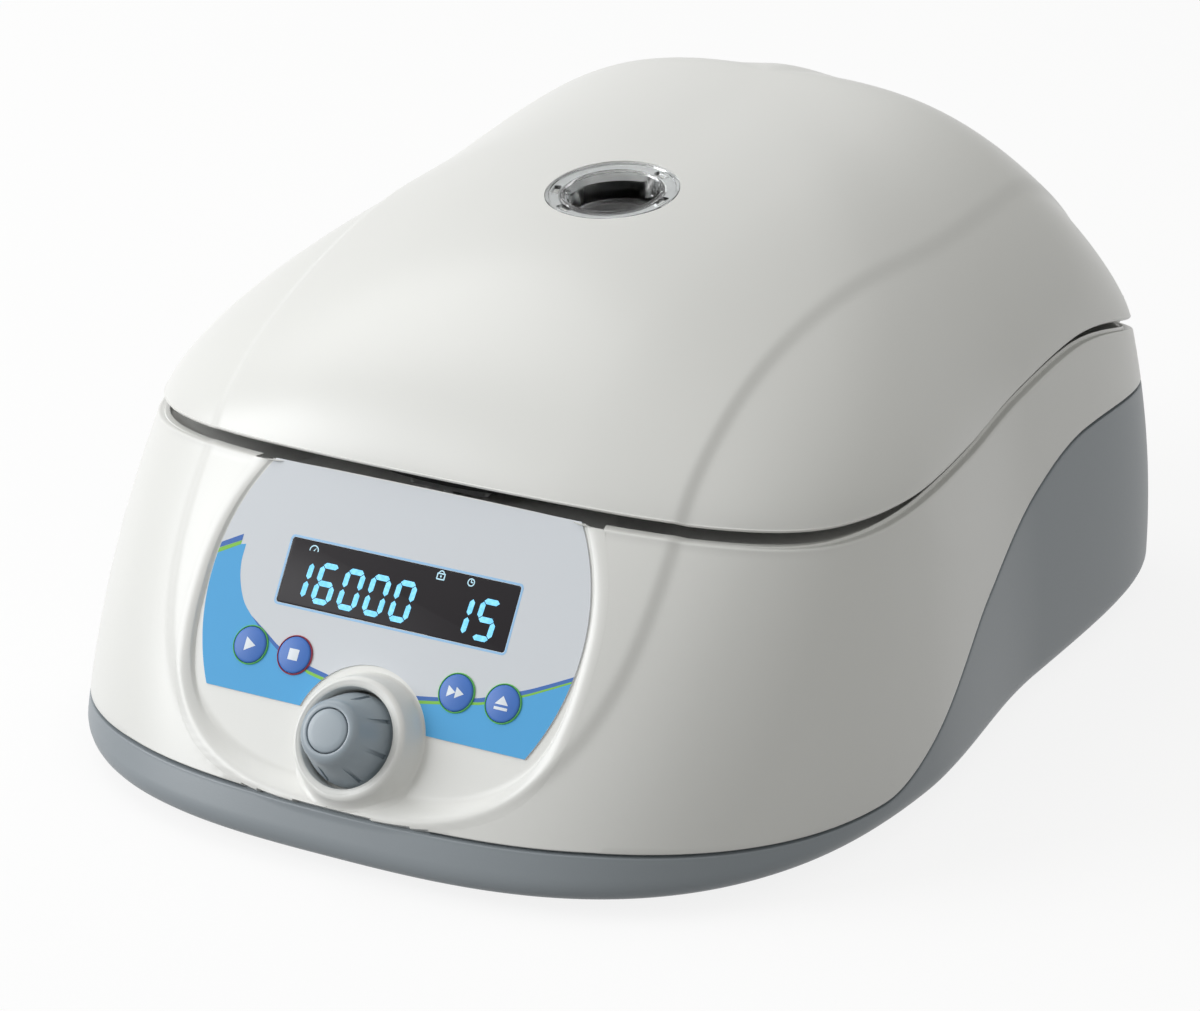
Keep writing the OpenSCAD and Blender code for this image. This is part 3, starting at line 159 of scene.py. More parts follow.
def mesh_object(name, points, faces):
    mesh = bpy.data.meshes.new(name)
    mesh.from_pydata([tuple(p) for p in points], [], faces)
    mesh.update()
    ob = bpy.data.objects.new(name, mesh)
    bpy.context.scene.collection.objects.link(ob)
    return ob


def piece(name, points, faces):
    """A mesh from points in the maker's frame."""
    return mesh_object(name, place(points), faces)


def skin(name, rows, ring=False):
    """A closed skin through rows of points: a ring, or capped at both ends."""
    n, m = len(rows[0]), len(rows)
    points = np.concatenate(rows)
    faces = []
    for i in range(m if ring else m - 1):
        a, b = i * n, ((i + 1) % m) * n
        faces += [(a + j, a + (j + 1) % n, b + (j + 1) % n, b + j) for j in range(n)]
    if not ring:
        points = np.concatenate([points, [rows[0].mean(0), rows[-1].mean(0)]])
        faces += [((j + 1) % n, j, m * n) for j in range(n)]
        faces += [((m - 1) * n + j, (m - 1) * n + (j + 1) % n, m * n + 1) for j in range(n)]
    return piece(name, points, faces)


def applied(ob):
    """The object with its modifiers made real."""
    mesh = bpy.data.meshes.new_from_object(ob.evaluated_get(bpy.context.evaluated_depsgraph_get()))
    ob.modifiers.clear()
    old, ob.data = ob.data, mesh
    bpy.data.meshes.remove(old)
    return ob


def carve(ob, tools, how="DIFFERENCE"):
    """Cuts the tools out of the object, or joins them to it, and removes them."""
    for tool in tools:
        mod = ob.modifiers.new("carve", "BOOLEAN")
        mod.operation, mod.solver, mod.object = how, "MANIFOLD", tool
        applied(ob)
        bpy.data.objects.remove(tool)
    return ob


def soften(ob, degrees=35, bevel=0.0):
    """Smooth shading with crisp edges above an angle, after a small bevel where one is asked for."""
    if bevel:
        mod = ob.modifiers.new("bevel", "BEVEL")
        mod.width, mod.segments, mod.limit_method = bevel / 1000, 2, "ANGLE"
        mod.angle_limit = math.radians(40)
        applied(ob)
    ob.data.shade_smooth()
    ob.data.set_sharp_from_angle(angle=math.radians(degrees))
    return ob


def prism(name, shape, low, high, lay):
    """A closed prism of a plane shape between two heights, laid in place by lay(u, v, h)."""
    n = len(shape)
    points = [lay(u, v, low) for u, v in shape] + [lay(u, v, high) for u, v in shape]
    faces = [tuple(range(n - 1, -1, -1)), tuple(range(n, 2 * n))]
    faces += [(i, (i + 1) % n, n + (i + 1) % n, n + i) for i in range(n)]
    return piece(name, points, faces)


def rounded(w, h, r, cx=0.0, cy=0.0, steps=6):
    """A rectangle with rounded corners."""
    shape = []
    for sx, sy, start in ((1, 1, 0), (-1, 1, 90), (-1, -1, 180), (1, -1, 270)):
        for k in range(steps + 1):
            a = math.radians(start + 90 * k / steps)
            shape.append((cx + sx * (w / 2 - r) + r * math.cos(a), cy + sy * (h / 2 - r) + r * math.sin(a)))
    return shape


def disc(r, cx=0.0, cy=0.0, steps=48):
    return [(cx + r * math.cos(2 * math.pi * k / steps), cy + r * math.sin(2 * math.pi * k / steps))
            for k in range(steps)]


def level(u, v, h):
    return (u, v, h)


def rear_lay(x, z, out):
    """A lay for things on the rear wall: u to the right seen from behind, v up, h out."""
    y = float(rear_y(np.float64(z)))
    lean = math.atan((float(rear_y(np.float64(z + 10))) - float(rear_y(np.float64(z - 10)))) / 20)

    def lay(u, v, h):
        h += out
        return (x - u, y + h * math.cos(lean) + v * math.sin(lean),
                z + v * math.cos(lean) - h * math.sin(lean))

    return lay


class Wire:
    """One socket of a material's tree, so that a pattern can be written as sums."""

    def __init__(self, tree, socket):
        self.tree, self.socket = tree, socket

    def node(self, kind, *values, out=0, settings=None, **named):
        n = self.tree.nodes.new(kind)
        for key, value in (settings or {}).items():
            setattr(n, key, value)
        fed = list(zip(n.inputs, values)) + [(n.inputs[key.replace("_", " ")], v) for key, v in named.items()]
        for socket, value in fed:
            if isinstance(value, Wire):
                self.tree.links.new(value.socket, socket)
            elif value is not None:
                socket.default_value = value
        return Wire(self.tree, n.outputs[out])

    def sum(self, how, *values):
        return self.node("ShaderNodeMath", *values, settings={"operation": how})

    def __add__(self, other):
        return self.sum("ADD", self, other)

    def __radd__(self, other):
        return self.sum("ADD", other, self)

    def __sub__(self, other):
        return self.sum("SUBTRACT", self, other)

    def __mul__(self, other):
        return self.sum("MULTIPLY", self, other)

    def __truediv__(self, other):
        return self.sum("DIVIDE", self, other)

    def __pow__(self, other):
        return self.sum("POWER", self, other)

    def sine(self):
        return self.sum("SINE", self)

    def over(self, low, high):
        """Runs from 0 to 1 between the two values."""
        return self.node("ShaderNodeMapRange", self, low, high, 0.0, 1.0, settings={"clamp": True})

    def noise(self, scale, detail=2.0):
        return self.node("ShaderNodeTexNoise", Vector=self, Scale=scale, Detail=detail)

    def axes(self):
        parts = self.node("ShaderNodeSeparateXYZ", self).socket.node
        return [Wire(self.tree, parts.outputs[k]) for k in range(3)]

    def tint(self, low, high):
        """Mixes two colours, the first where the pattern is 0."""
        mixed = self.node("ShaderNodeMix", out=2, settings={"data_type": "RGBA"}, Factor=self)
        mixed.socket.node.inputs[6].default_value = (*low, 1)
        mixed.socket.node.inputs[7].default_value = (*high, 1)
        return mixed


class Finish:
    """A material of one physical finish; constants go on the shader, patterns are fed to it."""

    def __init__(self, name, colour, rough, **constants):
        self.material = bpy.data.materials.new(name)
        self.material.use_nodes = True
        self.tree = self.material.node_tree
        self.shader = self.tree.nodes["Principled BSDF"]
        self.shader.inputs["Base Color"].default_value = (*colour, 1)
        self.shader.inputs["Roughness"].default_value = rough
        for key, value in constants.items():
            self.shader.inputs[key.replace("_", " ")].default_value = value
        self.colour, self.rough = colour, rough
        start = self.tree.nodes.new("ShaderNodeTexCoord")
        self.at = Wire(self.tree, start.outputs["Object"])

    def feed(self, socket, wire):
        self.tree.links.new(wire.socket, self.shader.inputs[socket])
        return self

    def bump(self, height, depth):
        normal = self.at.node("ShaderNodeBump", Strength=1.0, Distance=depth, Height=height)
        return self.feed("Normal", normal)

    def moulded(self, grain=1400.0, depth=0.00002, shift=0.03, rough_shift=0.05):
        """The usual look of a moulding: a fine spark texture and a faint mottle."""
        mottle = self.at.noise(16.0, 3.0)
        low = tuple(c * (1 - shift) for c in self.colour)
        high = tuple(min(1, c * (1 + shift)) for c in self.colour)
        self.feed("Base Color", mottle.tint(low, high))
        spark = self.at.noise(grain, 2.0)
        self.feed("Roughness", self.rough - rough_shift + spark * (2 * rough_shift))
        return self.bump(spark, depth)

    def dress(self, ob):
        ob.data.materials.clear()
        ob.data.materials.append(self.material)
        return ob


def show(ob, finish, body="housing", instead_of=()):
    """Gives a finished piece its material and body, and hides the CAD nodes that it stands for."""
    finish.dress(ob)
    for node in instead_of:
        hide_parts(node)
    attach(ob, body)
    return ob


def dress_node(finish, *names):
    for name in names:
        finish.dress(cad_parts[name])


BASE_SEAM = seam([13.2, 8.6, 42.8, 66.8, 60.2])
LID_SEAM = seam([100.8, 89.0, 89.0, 94.8, 76.2])
RIM_Z = LID_SEAM[:, 2] - LID_GAP - FINGER_GAP * (1 - smooth((LID_SEAM[:, 1] - 75) / 60))
FOOT_SPOTS = [(-86, 48), (86, 48), (-98, 282), (98, 282)]
MOUNT_RING = 54
MOUNT_SPOTS = [(MOUNT_RING * math.cos(math.radians(a)), AXIS_Y + MOUNT_RING * math.sin(math.radians(a)))
               for a in (30, 150, 270)]
FLOOR_T, LIP_IN, LIP_T = 3.0, 3.0, 1.6
INLET, SWITCH, REAR_Z = 50.0, 14.0, 31.0


def base_rows():
    edge = BASE_SEAM[:, 2]
    rows = [row(z) for z in (0, 0.25, 0.7, 1.4, 2.3, 3.4, 4.6, 5.8, 7.0)]
    rows += [row(7.0 + f * (edge - 0.5 - 7.0)) for f in np.linspace(0.06, 1, 16)]
    rows += edge_rows(rows[-1], 0.5, 1)
    lip = np.where(BASE_SEAM[:, 1] < 60, np.interp(np.abs(BASE_SEAM[:, 0]), [48, 62], [0.4, 3.0]), 3.0)
    rows += [row(edge, LIP_IN), row(edge + lip - 0.3, LIP_IN), row(edge + lip, LIP_IN + 0.3),
             row(edge + lip, LIP_IN + LIP_T), row(np.maximum(edge - 3, FLOOR_T + 3), LIP_IN + LIP_T)]
    rows += [row(np.full(COLS, FLOOR_T + 2.6), WALL), row(np.full(COLS, FLOOR_T), WALL + 2.6)]
    return rows


base = skin("base_moulding", base_rows())
for x, y in MOUNT_SPOTS:
    carve(base, [prism("post", disc(6, x, y), FLOOR_T - 0.5, 36, level)], "UNION")
for x, y in FOOT_SPOTS:
    carve(base, [prism("post", disc(5, x, y), FLOOR_T - 0.5, 12, level)], "UNION")
for x, w, h in ((INLET, 34, 36), (SWITCH, 18, 24)):
    carve(base, [prism("pad", rounded(w, h, 3), -2.8, 0.4, rear_lay(x, REAR_Z, 0))], "UNION")
slots = [(x, 79.4, 44) for x in range(-45, 46, 9)] + [(x, 257.4, 30) for x in range(-36, 37, 9)]
carve(base, [prism("slot", rounded(3, length, 1.49, x, y), -1, FLOOR_T + 1, level) for x, y, length in slots])
carve(base, [prism("slot", rounded(3, 30, 1.49), -12, 8, rear_lay(-24 - 8 * i, REAR_Z, 0)) for i in range(9)])
carve(base, [prism("hole", rounded(27, 28, 2), -12, 8, rear_lay(INLET, REAR_Z, 0)),
             prism("hole", rounded(12.6, 18.6, 1), -12, 8, rear_lay(SWITCH, REAR_Z, 0))])
BASE_PLASTIC = Finish("base_plastic", (0.27, 0.3, 0.325), 0.4).moulded(grain=1700, depth=0.000016)
show(soften(base, 32), BASE_PLASTIC, instead_of=["base_shell"])

# Feet: four soft rubber rings screwed up into the base, each with a sunk pan-head screw.
# The screws and the other plain hardware inside are bright zinc-plated steel.
def grown(name, finish, spots, sizes, build):
    """A plain mesh from a Geometry Nodes tree with named inputs, in metres, grown at the given spots."""
    tree = bpy.data.node_groups.new(name, "GeometryNodeTree")
    tree.interface.new_socket("Geometry", in_out="OUTPUT", socket_type="NodeSocketGeometry")
    tree.interface.new_socket("Spots", in_out="INPUT", socket_type="NodeSocketGeometry")
    for key, size in sizes.items():
        kind = "NodeSocketInt" if isinstance(size, int) else "NodeSocketFloat"
        tree.interface.new_socket(key, in_out="INPUT", socket_type=kind)
    given, end = tree.nodes.new("NodeGroupInput"), tree.nodes.new("NodeGroupOutput")
    form = build(Wire(tree, given.outputs["Spots"]), {key: Wire(tree, given.outputs[key]) for key in sizes})
    form = form.node("GeometryNodeRealizeInstances", form)
    form = form.node("GeometryNodeSetMaterial", Geometry=form, Material=finish.material)
    tree.links.new(form.socket, end.inputs[0])
    ob = piece(name, np.reshape(spots, (-1, 3)), [])
    mod = ob.modifiers.new(name, "NODES")
    mod.node_group = tree
    for item in tree.interface.items_tree:
        if item.in_out == "INPUT" and item.name in sizes:
            mod[item.identifier] = sizes[item.name]
    return applied(ob)


def vector(x, y, z):
    """Three values as one; at least one of them comes from a tree."""
    start = next(v for v in (x, y, z) if isinstance(v, Wire))
    return start.node("ShaderNodeCombineXYZ", X=x, Y=y, Z=z)


def together(*forms):
    """Several forms as one."""
    join_node = forms[0].node("GeometryNodeJoinGeometry")
    for form in forms:
        form.tree.links.new(form.socket, join_node.socket.node.inputs[0])
    return join_node


def moved(form, shift=None, turn=None):
    return form.node("GeometryNodeTransform", Geometry=form, Translation=shift, Rotation=turn)


def at_points(points, form, turn=None):
    """The form set at each of the points."""
    return points.node("GeometryNodeInstanceOnPoints", Points=points, Instance=form, Rotation=turn)


def coil(start, turns, radius, wire, length, sides):
    """A wire wound on a cylinder about z, from z = 0 upwards."""
    path = start.node("GeometryNodeCurveSpiral", Resolution=28, Rotations=turns, Start_Radius=radius,
                      End_Radius=radius, Height=length)
    return start.node("GeometryNodeCurveToMesh", Curve=path, Profile_Curve=start.node(
        "GeometryNodeCurvePrimitiveCircle", Resolution=sides, Radius=wire), Fill_Caps=True)


RECESS_W, TURNS_PER_M = 0.0007, 1100.0


def screws(spots, size):
    """Pan-head screws that point up, with a rolled thread and a cross recess in the head's face."""
    head = together(
        moved(spots.node("GeometryNodeMeshCylinder", Vertices=40, Radius=size["Head radius"],
                         Depth=size["Head height"] * 0.55), vector(0.0, 0.0, size["Head height"] * -0.275)),
        moved(spots.node("GeometryNodeMeshCone", Vertices=40, Radius_Top=size["Head radius"],
                         Radius_Bottom=size["Head radius"] * 0.74, Depth=size["Head height"] * 0.45),
              vector(0.0, 0.0, size["Head height"] * -0.775)))
    slot = vector(size["Head radius"], RECESS_W, size["Head height"])
    bars = [moved(spots.node("GeometryNodeMeshCube", Size=slot),
                  vector(0.0, 0.0, size["Head height"] * -1.0), (0.0, 0.0, turn))
            for turn in (0.0, math.pi / 2)]
    cut = spots.node("GeometryNodeMeshBoolean", settings={"operation": "DIFFERENCE", "solver": "EXACT"})
    spots.tree.links.new(head.socket, cut.socket.node.inputs["Mesh 1"])
    for bar in bars:
        spots.tree.links.new(bar.socket, cut.socket.node.inputs["Mesh 2"])
    shank = moved(spots.node("GeometryNodeMeshCylinder", Vertices=24, Radius=size["Shank radius"] * 0.84,
                             Depth=size["Length"]), vector(0.0, 0.0, size["Length"] * 0.5))
    thread = coil(spots, size["Length"] * TURNS_PER_M, size["Shank radius"] * 0.86,
                  size["Shank radius"] * 0.14, size["Length"] * 0.97, 4)
    return at_points(spots, together(cut, shank, thread))


RUBBER = Finish("rubber", (0.022, 0.022, 0.023), 0.75).moulded(grain=2600, depth=0.00003, shift=0.15)
dress_node(RUBBER, "rubber_feet", "motor_mounts", "shaft_boot", "bowl_gasket")
STEEL = Finish("plated_steel", (0.62, 0.63, 0.64), 0.3, Metallic=1.0)
STEEL.feed("Roughness", 0.22 + STEEL.at.noise(220.0, 4.0) * 0.16).bump(STEEL.at.noise(2400.0), 0.00001)
dress_node(STEEL, "mount_screws", "liner_screws", "lid_hook", "lock_frame", "lock_bolt",
           "hinge_pins", "knob_shaft", "inlet_pins", "board_posts", "drive_shaft")
foot_screws = grown("foot_screws", STEEL, [(x, y, -1.6) for x, y in FOOT_SPOTS],
                    {"Head radius": 0.0033, "Head height": 0.0016, "Shank radius": 0.002, "Length": 0.01},
                    screws)
show(soften(foot_screws, 40), STEEL, "housing", ["base_screws"])

# Chamber: a deep-drawn stainless bowl with a brushed finish, a black seal on its flange.
# The brushing runs round the axis, as it does on a spun bowl.
def turned(finish, pitch, depth, low, high):
    """Fine rings round the rotor's axis, from turning or brushing on a lathe."""
    x, y, z = finish.at.axes()
    back = y - (AXIS_Y - ORIGIN_Y) / 1000
    across = (x * x + back * back) ** 0.5
    rings = ((across + z) * (2 * math.pi / pitch)).sine() * 0.5 + finish.at.noise(300.0, 3.0)
    finish.feed("Roughness", low + rings * ((high - low) * 0.66))
    return finish.bump(rings, depth)


STAINLESS = turned(Finish("brushed_stainless", (0.6, 0.6, 0.59), 0.3, Metallic=1.0),
                   0.0006, 0.000012, 0.2, 0.42)
dress_node(STAINLESS, "chamber_bowl")

# Motor and drive: a black painted can under an aluminium plate on three rubber bushes.
# The rotor is machined from one aluminium billet and anodised, with twelve tube places.
BLACK = Finish("black_plastic", (0.018, 0.018, 0.019), 0.48).moulded(grain=1500, depth=0.00003, shift=0.12)
dress_node(BLACK, "motor_can", "lid_switch", "display_module", "key_switches", "encoder_body", "power_inlet",
           "fuse_drawer", "switch_frame", "switch_rocker", "imbalance_switch", "light_tube", "lid_liner")
ALLOY = turned(Finish("turned_aluminium", (0.66, 0.67, 0.69), 0.3, Metallic=1.0), 0.0011, 0.000015, 0.2, 0.4)
dress_node(ALLOY, "rotor", "motor_plate", "encoder_hub")

# Heat sink and rotor nut: an extruded aluminium plate with a row of fins, inside the base, and
# a nut turned from plated steel, with sixteen grooves for the fingers round it.
def spun(name, profile, lay, n=144):
    """A turned form: a closed skin from a profile of radius and height, on the axis of lay."""
    points, rows_at = [], []
    for k, (r, h) in enumerate(profile):
        if k and (r, h) == profile[0]:
            rows_at.append(rows_at[0])
        elif r < 1e-6:
            rows_at.append([len(points)] * n)
            points.append(lay(0, 0, h))
        else:
            rows_at.append([len(points) + j for j in range(n)])
            points += [lay(r * math.cos(2 * math.pi * j / n), r * math.sin(2 * math.pi * j / n), h)
                       for j in range(n)]
    faces = []
    for low, high in zip(rows_at, rows_at[1:]):
        for j in range(n):
            quad = [low[j], low[(j + 1) % n], high[(j + 1) % n], high[j]]
            face = [q for k, q in enumerate(quad) if q not in quad[:k]]
            if len(face) > 2:
                faces.append(tuple(face))
    return piece(name, points, faces)


PLATE_T, FIN_SINK = 0.003, 0.0002


def finned(spots, size):
    """A plate with a row of fins along it, from the plate's lowest corner."""
    plate = spots.node("GeometryNodeMeshCube", Size=vector(size["Width"], size["Plate"], size["Height"]))
    fin = spots.node("GeometryNodeMeshCube", Size=vector(size["Fin"], size["Reach"], size["Height"]))
    pitch = (size["Width"] - size["Fin"]) / (size["Fins"] - 1)
    start = vector(size["Fin"] * 0.5, size["Plate"] + size["Reach"] * 0.5 - FIN_SINK, size["Height"] * 0.5)
    line = spots.node("GeometryNodeMeshLine", Count=size["Fins"], Offset=vector(pitch, 0.0, 0.0),
                      Start_Location=start)
    plate = moved(plate, vector(size["Width"] * 0.5, size["Plate"] * 0.5, size["Height"] * 0.5))
    return at_points(spots, together(plate, at_points(line, fin)))


def ringed(tool):
    """A tree that sets a cutting tool in a ring about z, at the given reach."""

    def build(spots, size):
        line = spots.node("GeometryNodeMeshLine", Count=size["Count"], Offset=(0.0, 0.0, 0.0))
        turn = spots.node("GeometryNodeInputIndex") * (2 * math.pi) / size["Count"] + size["Start"]
        placed = moved(tool(spots, size), vector(size["Reach"], 0.0, size["Rise"]))
        ring = spots.node("GeometryNodeRealizeInstances", at_points(line, placed, vector(0.0, 0.0, turn)))
        return at_points(spots, moved(ring, None, vector(size["Lean"], 0.0, 0.0)))

    return build


def round_tool(spots, size):
    """An upright round bar, for a hollow groove."""
    return spots.node("GeometryNodeMeshCylinder", Vertices=16, Radius=size["Groove"], Depth=size["Depth"])


sink_low, sink_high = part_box("heat_sink")
corner = (sink_low.x * 1000, sink_low.y * 1000 + ORIGIN_Y, sink_low.z * 1000 - FOOT_H)
sink = grown("heat_sink_fins", ALLOY, [corner],
             {"Fins": 8, "Width": 0.058, "Height": sink_high.z - sink_low.z, "Plate": PLATE_T, "Fin": 0.002,
              "Reach": sink_high.y - sink_low.y - PLATE_T + FIN_SINK}, finned)
show(soften(sink, 30), ALLOY, "housing", ["heat_sink"])
NUT_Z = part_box("rotor_nut")[0].z * 1000 - FOOT_H
NUT_PROFILE = [(3.05, 0), (8, 0), (8.7, 0.3), (9, 1), (9, 10.5), (8.6, 11.4), (7.6, 11.9), (6.4, 12),
               (0, 12), (0, 8.5), (3.05, 8.5), (3.05, 0)]
nut = spun("rotor_nut_body", NUT_PROFILE, lambda u, v, h: (u, AXIS_Y + v, NUT_Z + h), 160)
grip = grown("nut_grip", STEEL, [(0, AXIS_Y, NUT_Z)],
             {"Count": 16, "Start": 0.0, "Reach": 0.0095, "Rise": 0.009, "Lean": 0.0, "Groove": 0.001,
              "Depth": 0.013}, ringed(round_tool))
carve(nut, [grip])
show(soften(nut, 35), STEEL, "rotor", ["rotor_nut"])

# Electronics: green circuit boards, copper windings on the lock's solenoid and the transformer,
# and capacitors in dark-blue sleeves. Their forms are the CAD's own.
BOARD = Finish("circuit_board", (0.012, 0.11, 0.045), 0.4)
tracks = (BOARD.at.node("ShaderNodeTexVoronoi", Vector=BOARD.at, Scale=240.0)).over(0.0, 0.6)
BOARD.feed("Base Color", tracks.tint((0.02, 0.16, 0.07), (0.01, 0.085, 0.035))).bump(tracks, 0.00005)
dress_node(BOARD, "control_board", "power_board")
COPPER = Finish("wound_copper", (0.55, 0.24, 0.1), 0.35, Metallic=1.0)
turns_wound = (COPPER.at.axes()[0] * 9000.0).sine()
COPPER.feed("Base Color", turns_wound.over(-1, 1).tint((0.32, 0.12, 0.05), (0.62, 0.28, 0.12)))
COPPER.bump(turns_wound, 0.0001)
dress_node(COPPER, "lock_solenoid", "transformer")
SLEEVE = Finish("capacitor_sleeve", (0.02, 0.05, 0.16), 0.25).moulded(grain=800, depth=0.00001)
dress_node(SLEEVE, "capacitors")

# Upper housing: one off-white ABS moulding between the two seams, glossy-satin, with the rim and
# deck under the lid, a sunk flat for the panel, the knob's cup and four hinge lugs at the rear.
# The sunk flat has steep rounded sides and a soft shallow slope along its foot.
TILT = math.radians(32.15)
PANEL_Y, PANEL_Z, KNOB_V = 29.9, 45.3, -19.2
DECK_Z, DECK_T, OPEN_R = 84.0, 2.5, 76.4
WIDE_V, SIDE_R, HALF_W, OVERLAY_LOW, OVERLAY_HIGH = 18.0, 63.0, 60.3, 13.3, 53.0
RECESS_LOW, RECESS_HIGH, RECESS_MARGIN = 33.0, 74, 0.6
LEDGE_DEPTH, LEDGE_INSET, RIM_DROP = 1.9, 1.5, 0.9


def panel(u, v, h):
    return (u, PANEL_Y + v * math.sin(TILT) - h * math.cos(TILT),
            PANEL_Z + v * math.cos(TILT) + h * math.sin(TILT))


def rim_row(f, t):
    low = BASE_SEAM[:, 2] + BASE_GAP
    return row(low + f * (RIM_Z - low), t)


def flat_row(t, z):
    return np.stack([*outline(z, t), np.full(COLS, z)], 1)


def round_row(r, z):
    x, y = outline(float(z))
    way = np.stack([x, y - AXIS_Y], 1)
    way /= np.linalg.norm(way, axis=1, keepdims=True)
    return np.column_stack([r * way[:, 0], AXIS_Y + r * way[:, 1], np.full(COLS, z)])


def housing_rows():
    """The moulding's rows, with a ledge under the lid that grows from nothing at the front."""
    low = BASE_SEAM[:, 2] + BASE_GAP
    share = smooth((LID_SEAM[:, 1] - 62) / 50)
    ledge, inset = 0.02 + LEDGE_DEPTH * share, 0.92 + LEDGE_INSET * share
    outer = [row(low + 0.5 + f * (RIM_Z - ledge - low - 1.4)) for f in np.linspace(0, 1, 46)]
    rows = edge_rows(outer[0], 0.5, -1)[::-1] + outer + edge_rows(outer[-1], 0.9, 1)
    high = RIM_Z - RIM_DROP * share
    rows += [row(RIM_Z - ledge, inset), row(high - 0.015, inset)]
    step = np.minimum(DECK_Z, RIM_Z - 1)
    drop = 0.75 * np.maximum(0, DECK_Z + 3 - RIM_Z)
    rows += [row(high, WALL), row(step, WALL + 0.5), flat_row(WALL + 1.5 + drop, DECK_Z),
             round_row(OPEN_R, DECK_Z), round_row(OPEN_R, DECK_Z - DECK_T),
             flat_row(WALL + 2.5 + drop, DECK_Z - DECK_T), row(step - DECK_T, WALL),
             rim_row(0.55, WALL), rim_row(0.3, WALL), rim_row(0.12, WALL), rim_row(0, WALL)]
    return rows


def recess_outline():
    """The sunk flat's outline at its floor: bowed sides, and a squared round bowl below."""
    half, reach, shift = HALF_W + RECESS_MARGIN, WIDE_V + RECESS_LOW, SIDE_R - HALF_W
    r = SIDE_R + RECESS_MARGIN
    bowl = [(half * np.sign(math.cos(a)) * abs(math.cos(a)) ** (2 / 3),
             WIDE_V - reach * abs(math.sin(a)) ** (2 / 3)) for a in np.linspace(math.pi, 2 * math.pi, 220)]
    top = math.asin((RECESS_HIGH - WIDE_V) / r)
    right = [(-shift + r * math.cos(a), WIDE_V + r * math.sin(a)) for a in np.linspace(0, top, 60)[1:]]
    return np.array(bowl + right + [(-u, v) for u, v in right[::-1]])


def offset(shape, d):
    """A closed outline moved outwards by d, one value or one for each point."""
    ahead, behind = np.roll(shape, -1, 0), np.roll(shape, 1, 0)
    way = ahead - behind
    out = np.stack([way[:, 1], -way[:, 0]], 1) / np.linalg.norm(way, axis=1, keepdims=True)
    return shape + out * np.asarray(d)[..., None]


housing = skin("upper_moulding", housing_rows(), ring=True)
skin_tree = BVHTree.FromObject(housing, bpy.context.evaluated_depsgraph_get())
into = Vector((0, math.cos(TILT), -math.sin(TILT)))


def skin_height(u, v):
    """How far the moulding's skin stands above the panel's plane."""
    start = Vector(place([panel(u, v, 40)])[0])
    hit = skin_tree.ray_cast(start, into)
    return 40 - hit[3] * 1000 if hit[0] is not None else 0.0


RIM_EDGE = row(RIM_Z, 0.9)[FRONT - 150:FRONT + 151]


def rim_at(u):
    """The rim's top at a place across the front."""
    return float(np.interp(u, RIM_EDGE[:, 0], RIM_EDGE[:, 2]))


def under_rim(u, v, h):
    """A panel height kept below the rim's top, by moving it down the panel."""
    top = (rim_at(u) - PANEL_Z - h * math.sin(TILT)) / math.cos(TILT)
    return panel(u, min(v, top), h)


FLOOR_LINE = recess_outline()
foot_share = smooth((-2 - FLOOR_LINE[:, 1]) / 26)
SLOPE_IN = 0.25 + 2.6 * foot_share
SLOPE_OUT = 5.2 + 2.3 * foot_share
carve(housing, [prism("recess", [tuple(p) for p in offset(FLOOR_LINE, SLOPE_OUT - 0.15)], -6, 40, panel)])
STEEP_PART, BOWED_PART, KNEE, TUB_LIFT, TUB_SINK = 0.42, 0.58, 0.45, 0.006, 0.036
rings = []
for share in np.concatenate([np.linspace(0, 0.3, 12), np.linspace(0.3, 1, 15)[1:]]):
    d = -SLOPE_IN + share * (SLOPE_IN + SLOPE_OUT)
    along = np.clip((d - KNEE) / (SLOPE_OUT - KNEE), 0, 1)
    steep = STEEP_PART * smooth(d + 0.2) + BOWED_PART * along * (2 - along)
    soft = share ** 3 * (share * (share * 6 - 15) + 10)
    lift = steep + foot_share * (soft - steep)
    line = offset(FLOOR_LINE, d)
    ring = []
    for (u, v), f in zip(line, lift):
        height = max(skin_height(u, min(v, 50)), 0.0) * f + TUB_LIFT
        ring.append(under_rim(u, v, height - (TUB_SINK if share == 1 else 0)))
    rings.append(np.array(ring))
n = len(FLOOR_LINE)
points = np.concatenate(rings)
faces = [(i * n + j, i * n + (j + 1) % n, (i + 1) * n + (j + 1) % n, (i + 1) * n + j)
         for i in range(len(rings) - 1) for j in range(n)
         if max(FLOOR_LINE[j][1], FLOOR_LINE[(j + 1) % n][1]) < 58]
tub = piece("tub", points, faces)


def arc(cx, cy, r, start, end, steps):
    return [(cx + r * math.cos(math.radians(start + (end - start) * k / steps)),
             cy + r * math.sin(math.radians(start + (end - start) * k / steps))) for k in range(steps + 1)]


def on_panel(cu, cv, ch=0.0):
    return lambda u, v, h: panel(cu + u, cv + v, ch + h)


def joined(name, parts):
    """Several pieces made into one mesh."""
    points, faces = [], []
    for ob in parts:
        base_index = len(points)
        points += [tuple(v.co) for v in ob.data.vertices]
        faces += [tuple(base_index + i for i in p.vertices) for p in ob.data.polygons]
        bpy.data.objects.remove(ob)
    return mesh_object(name, points, faces)


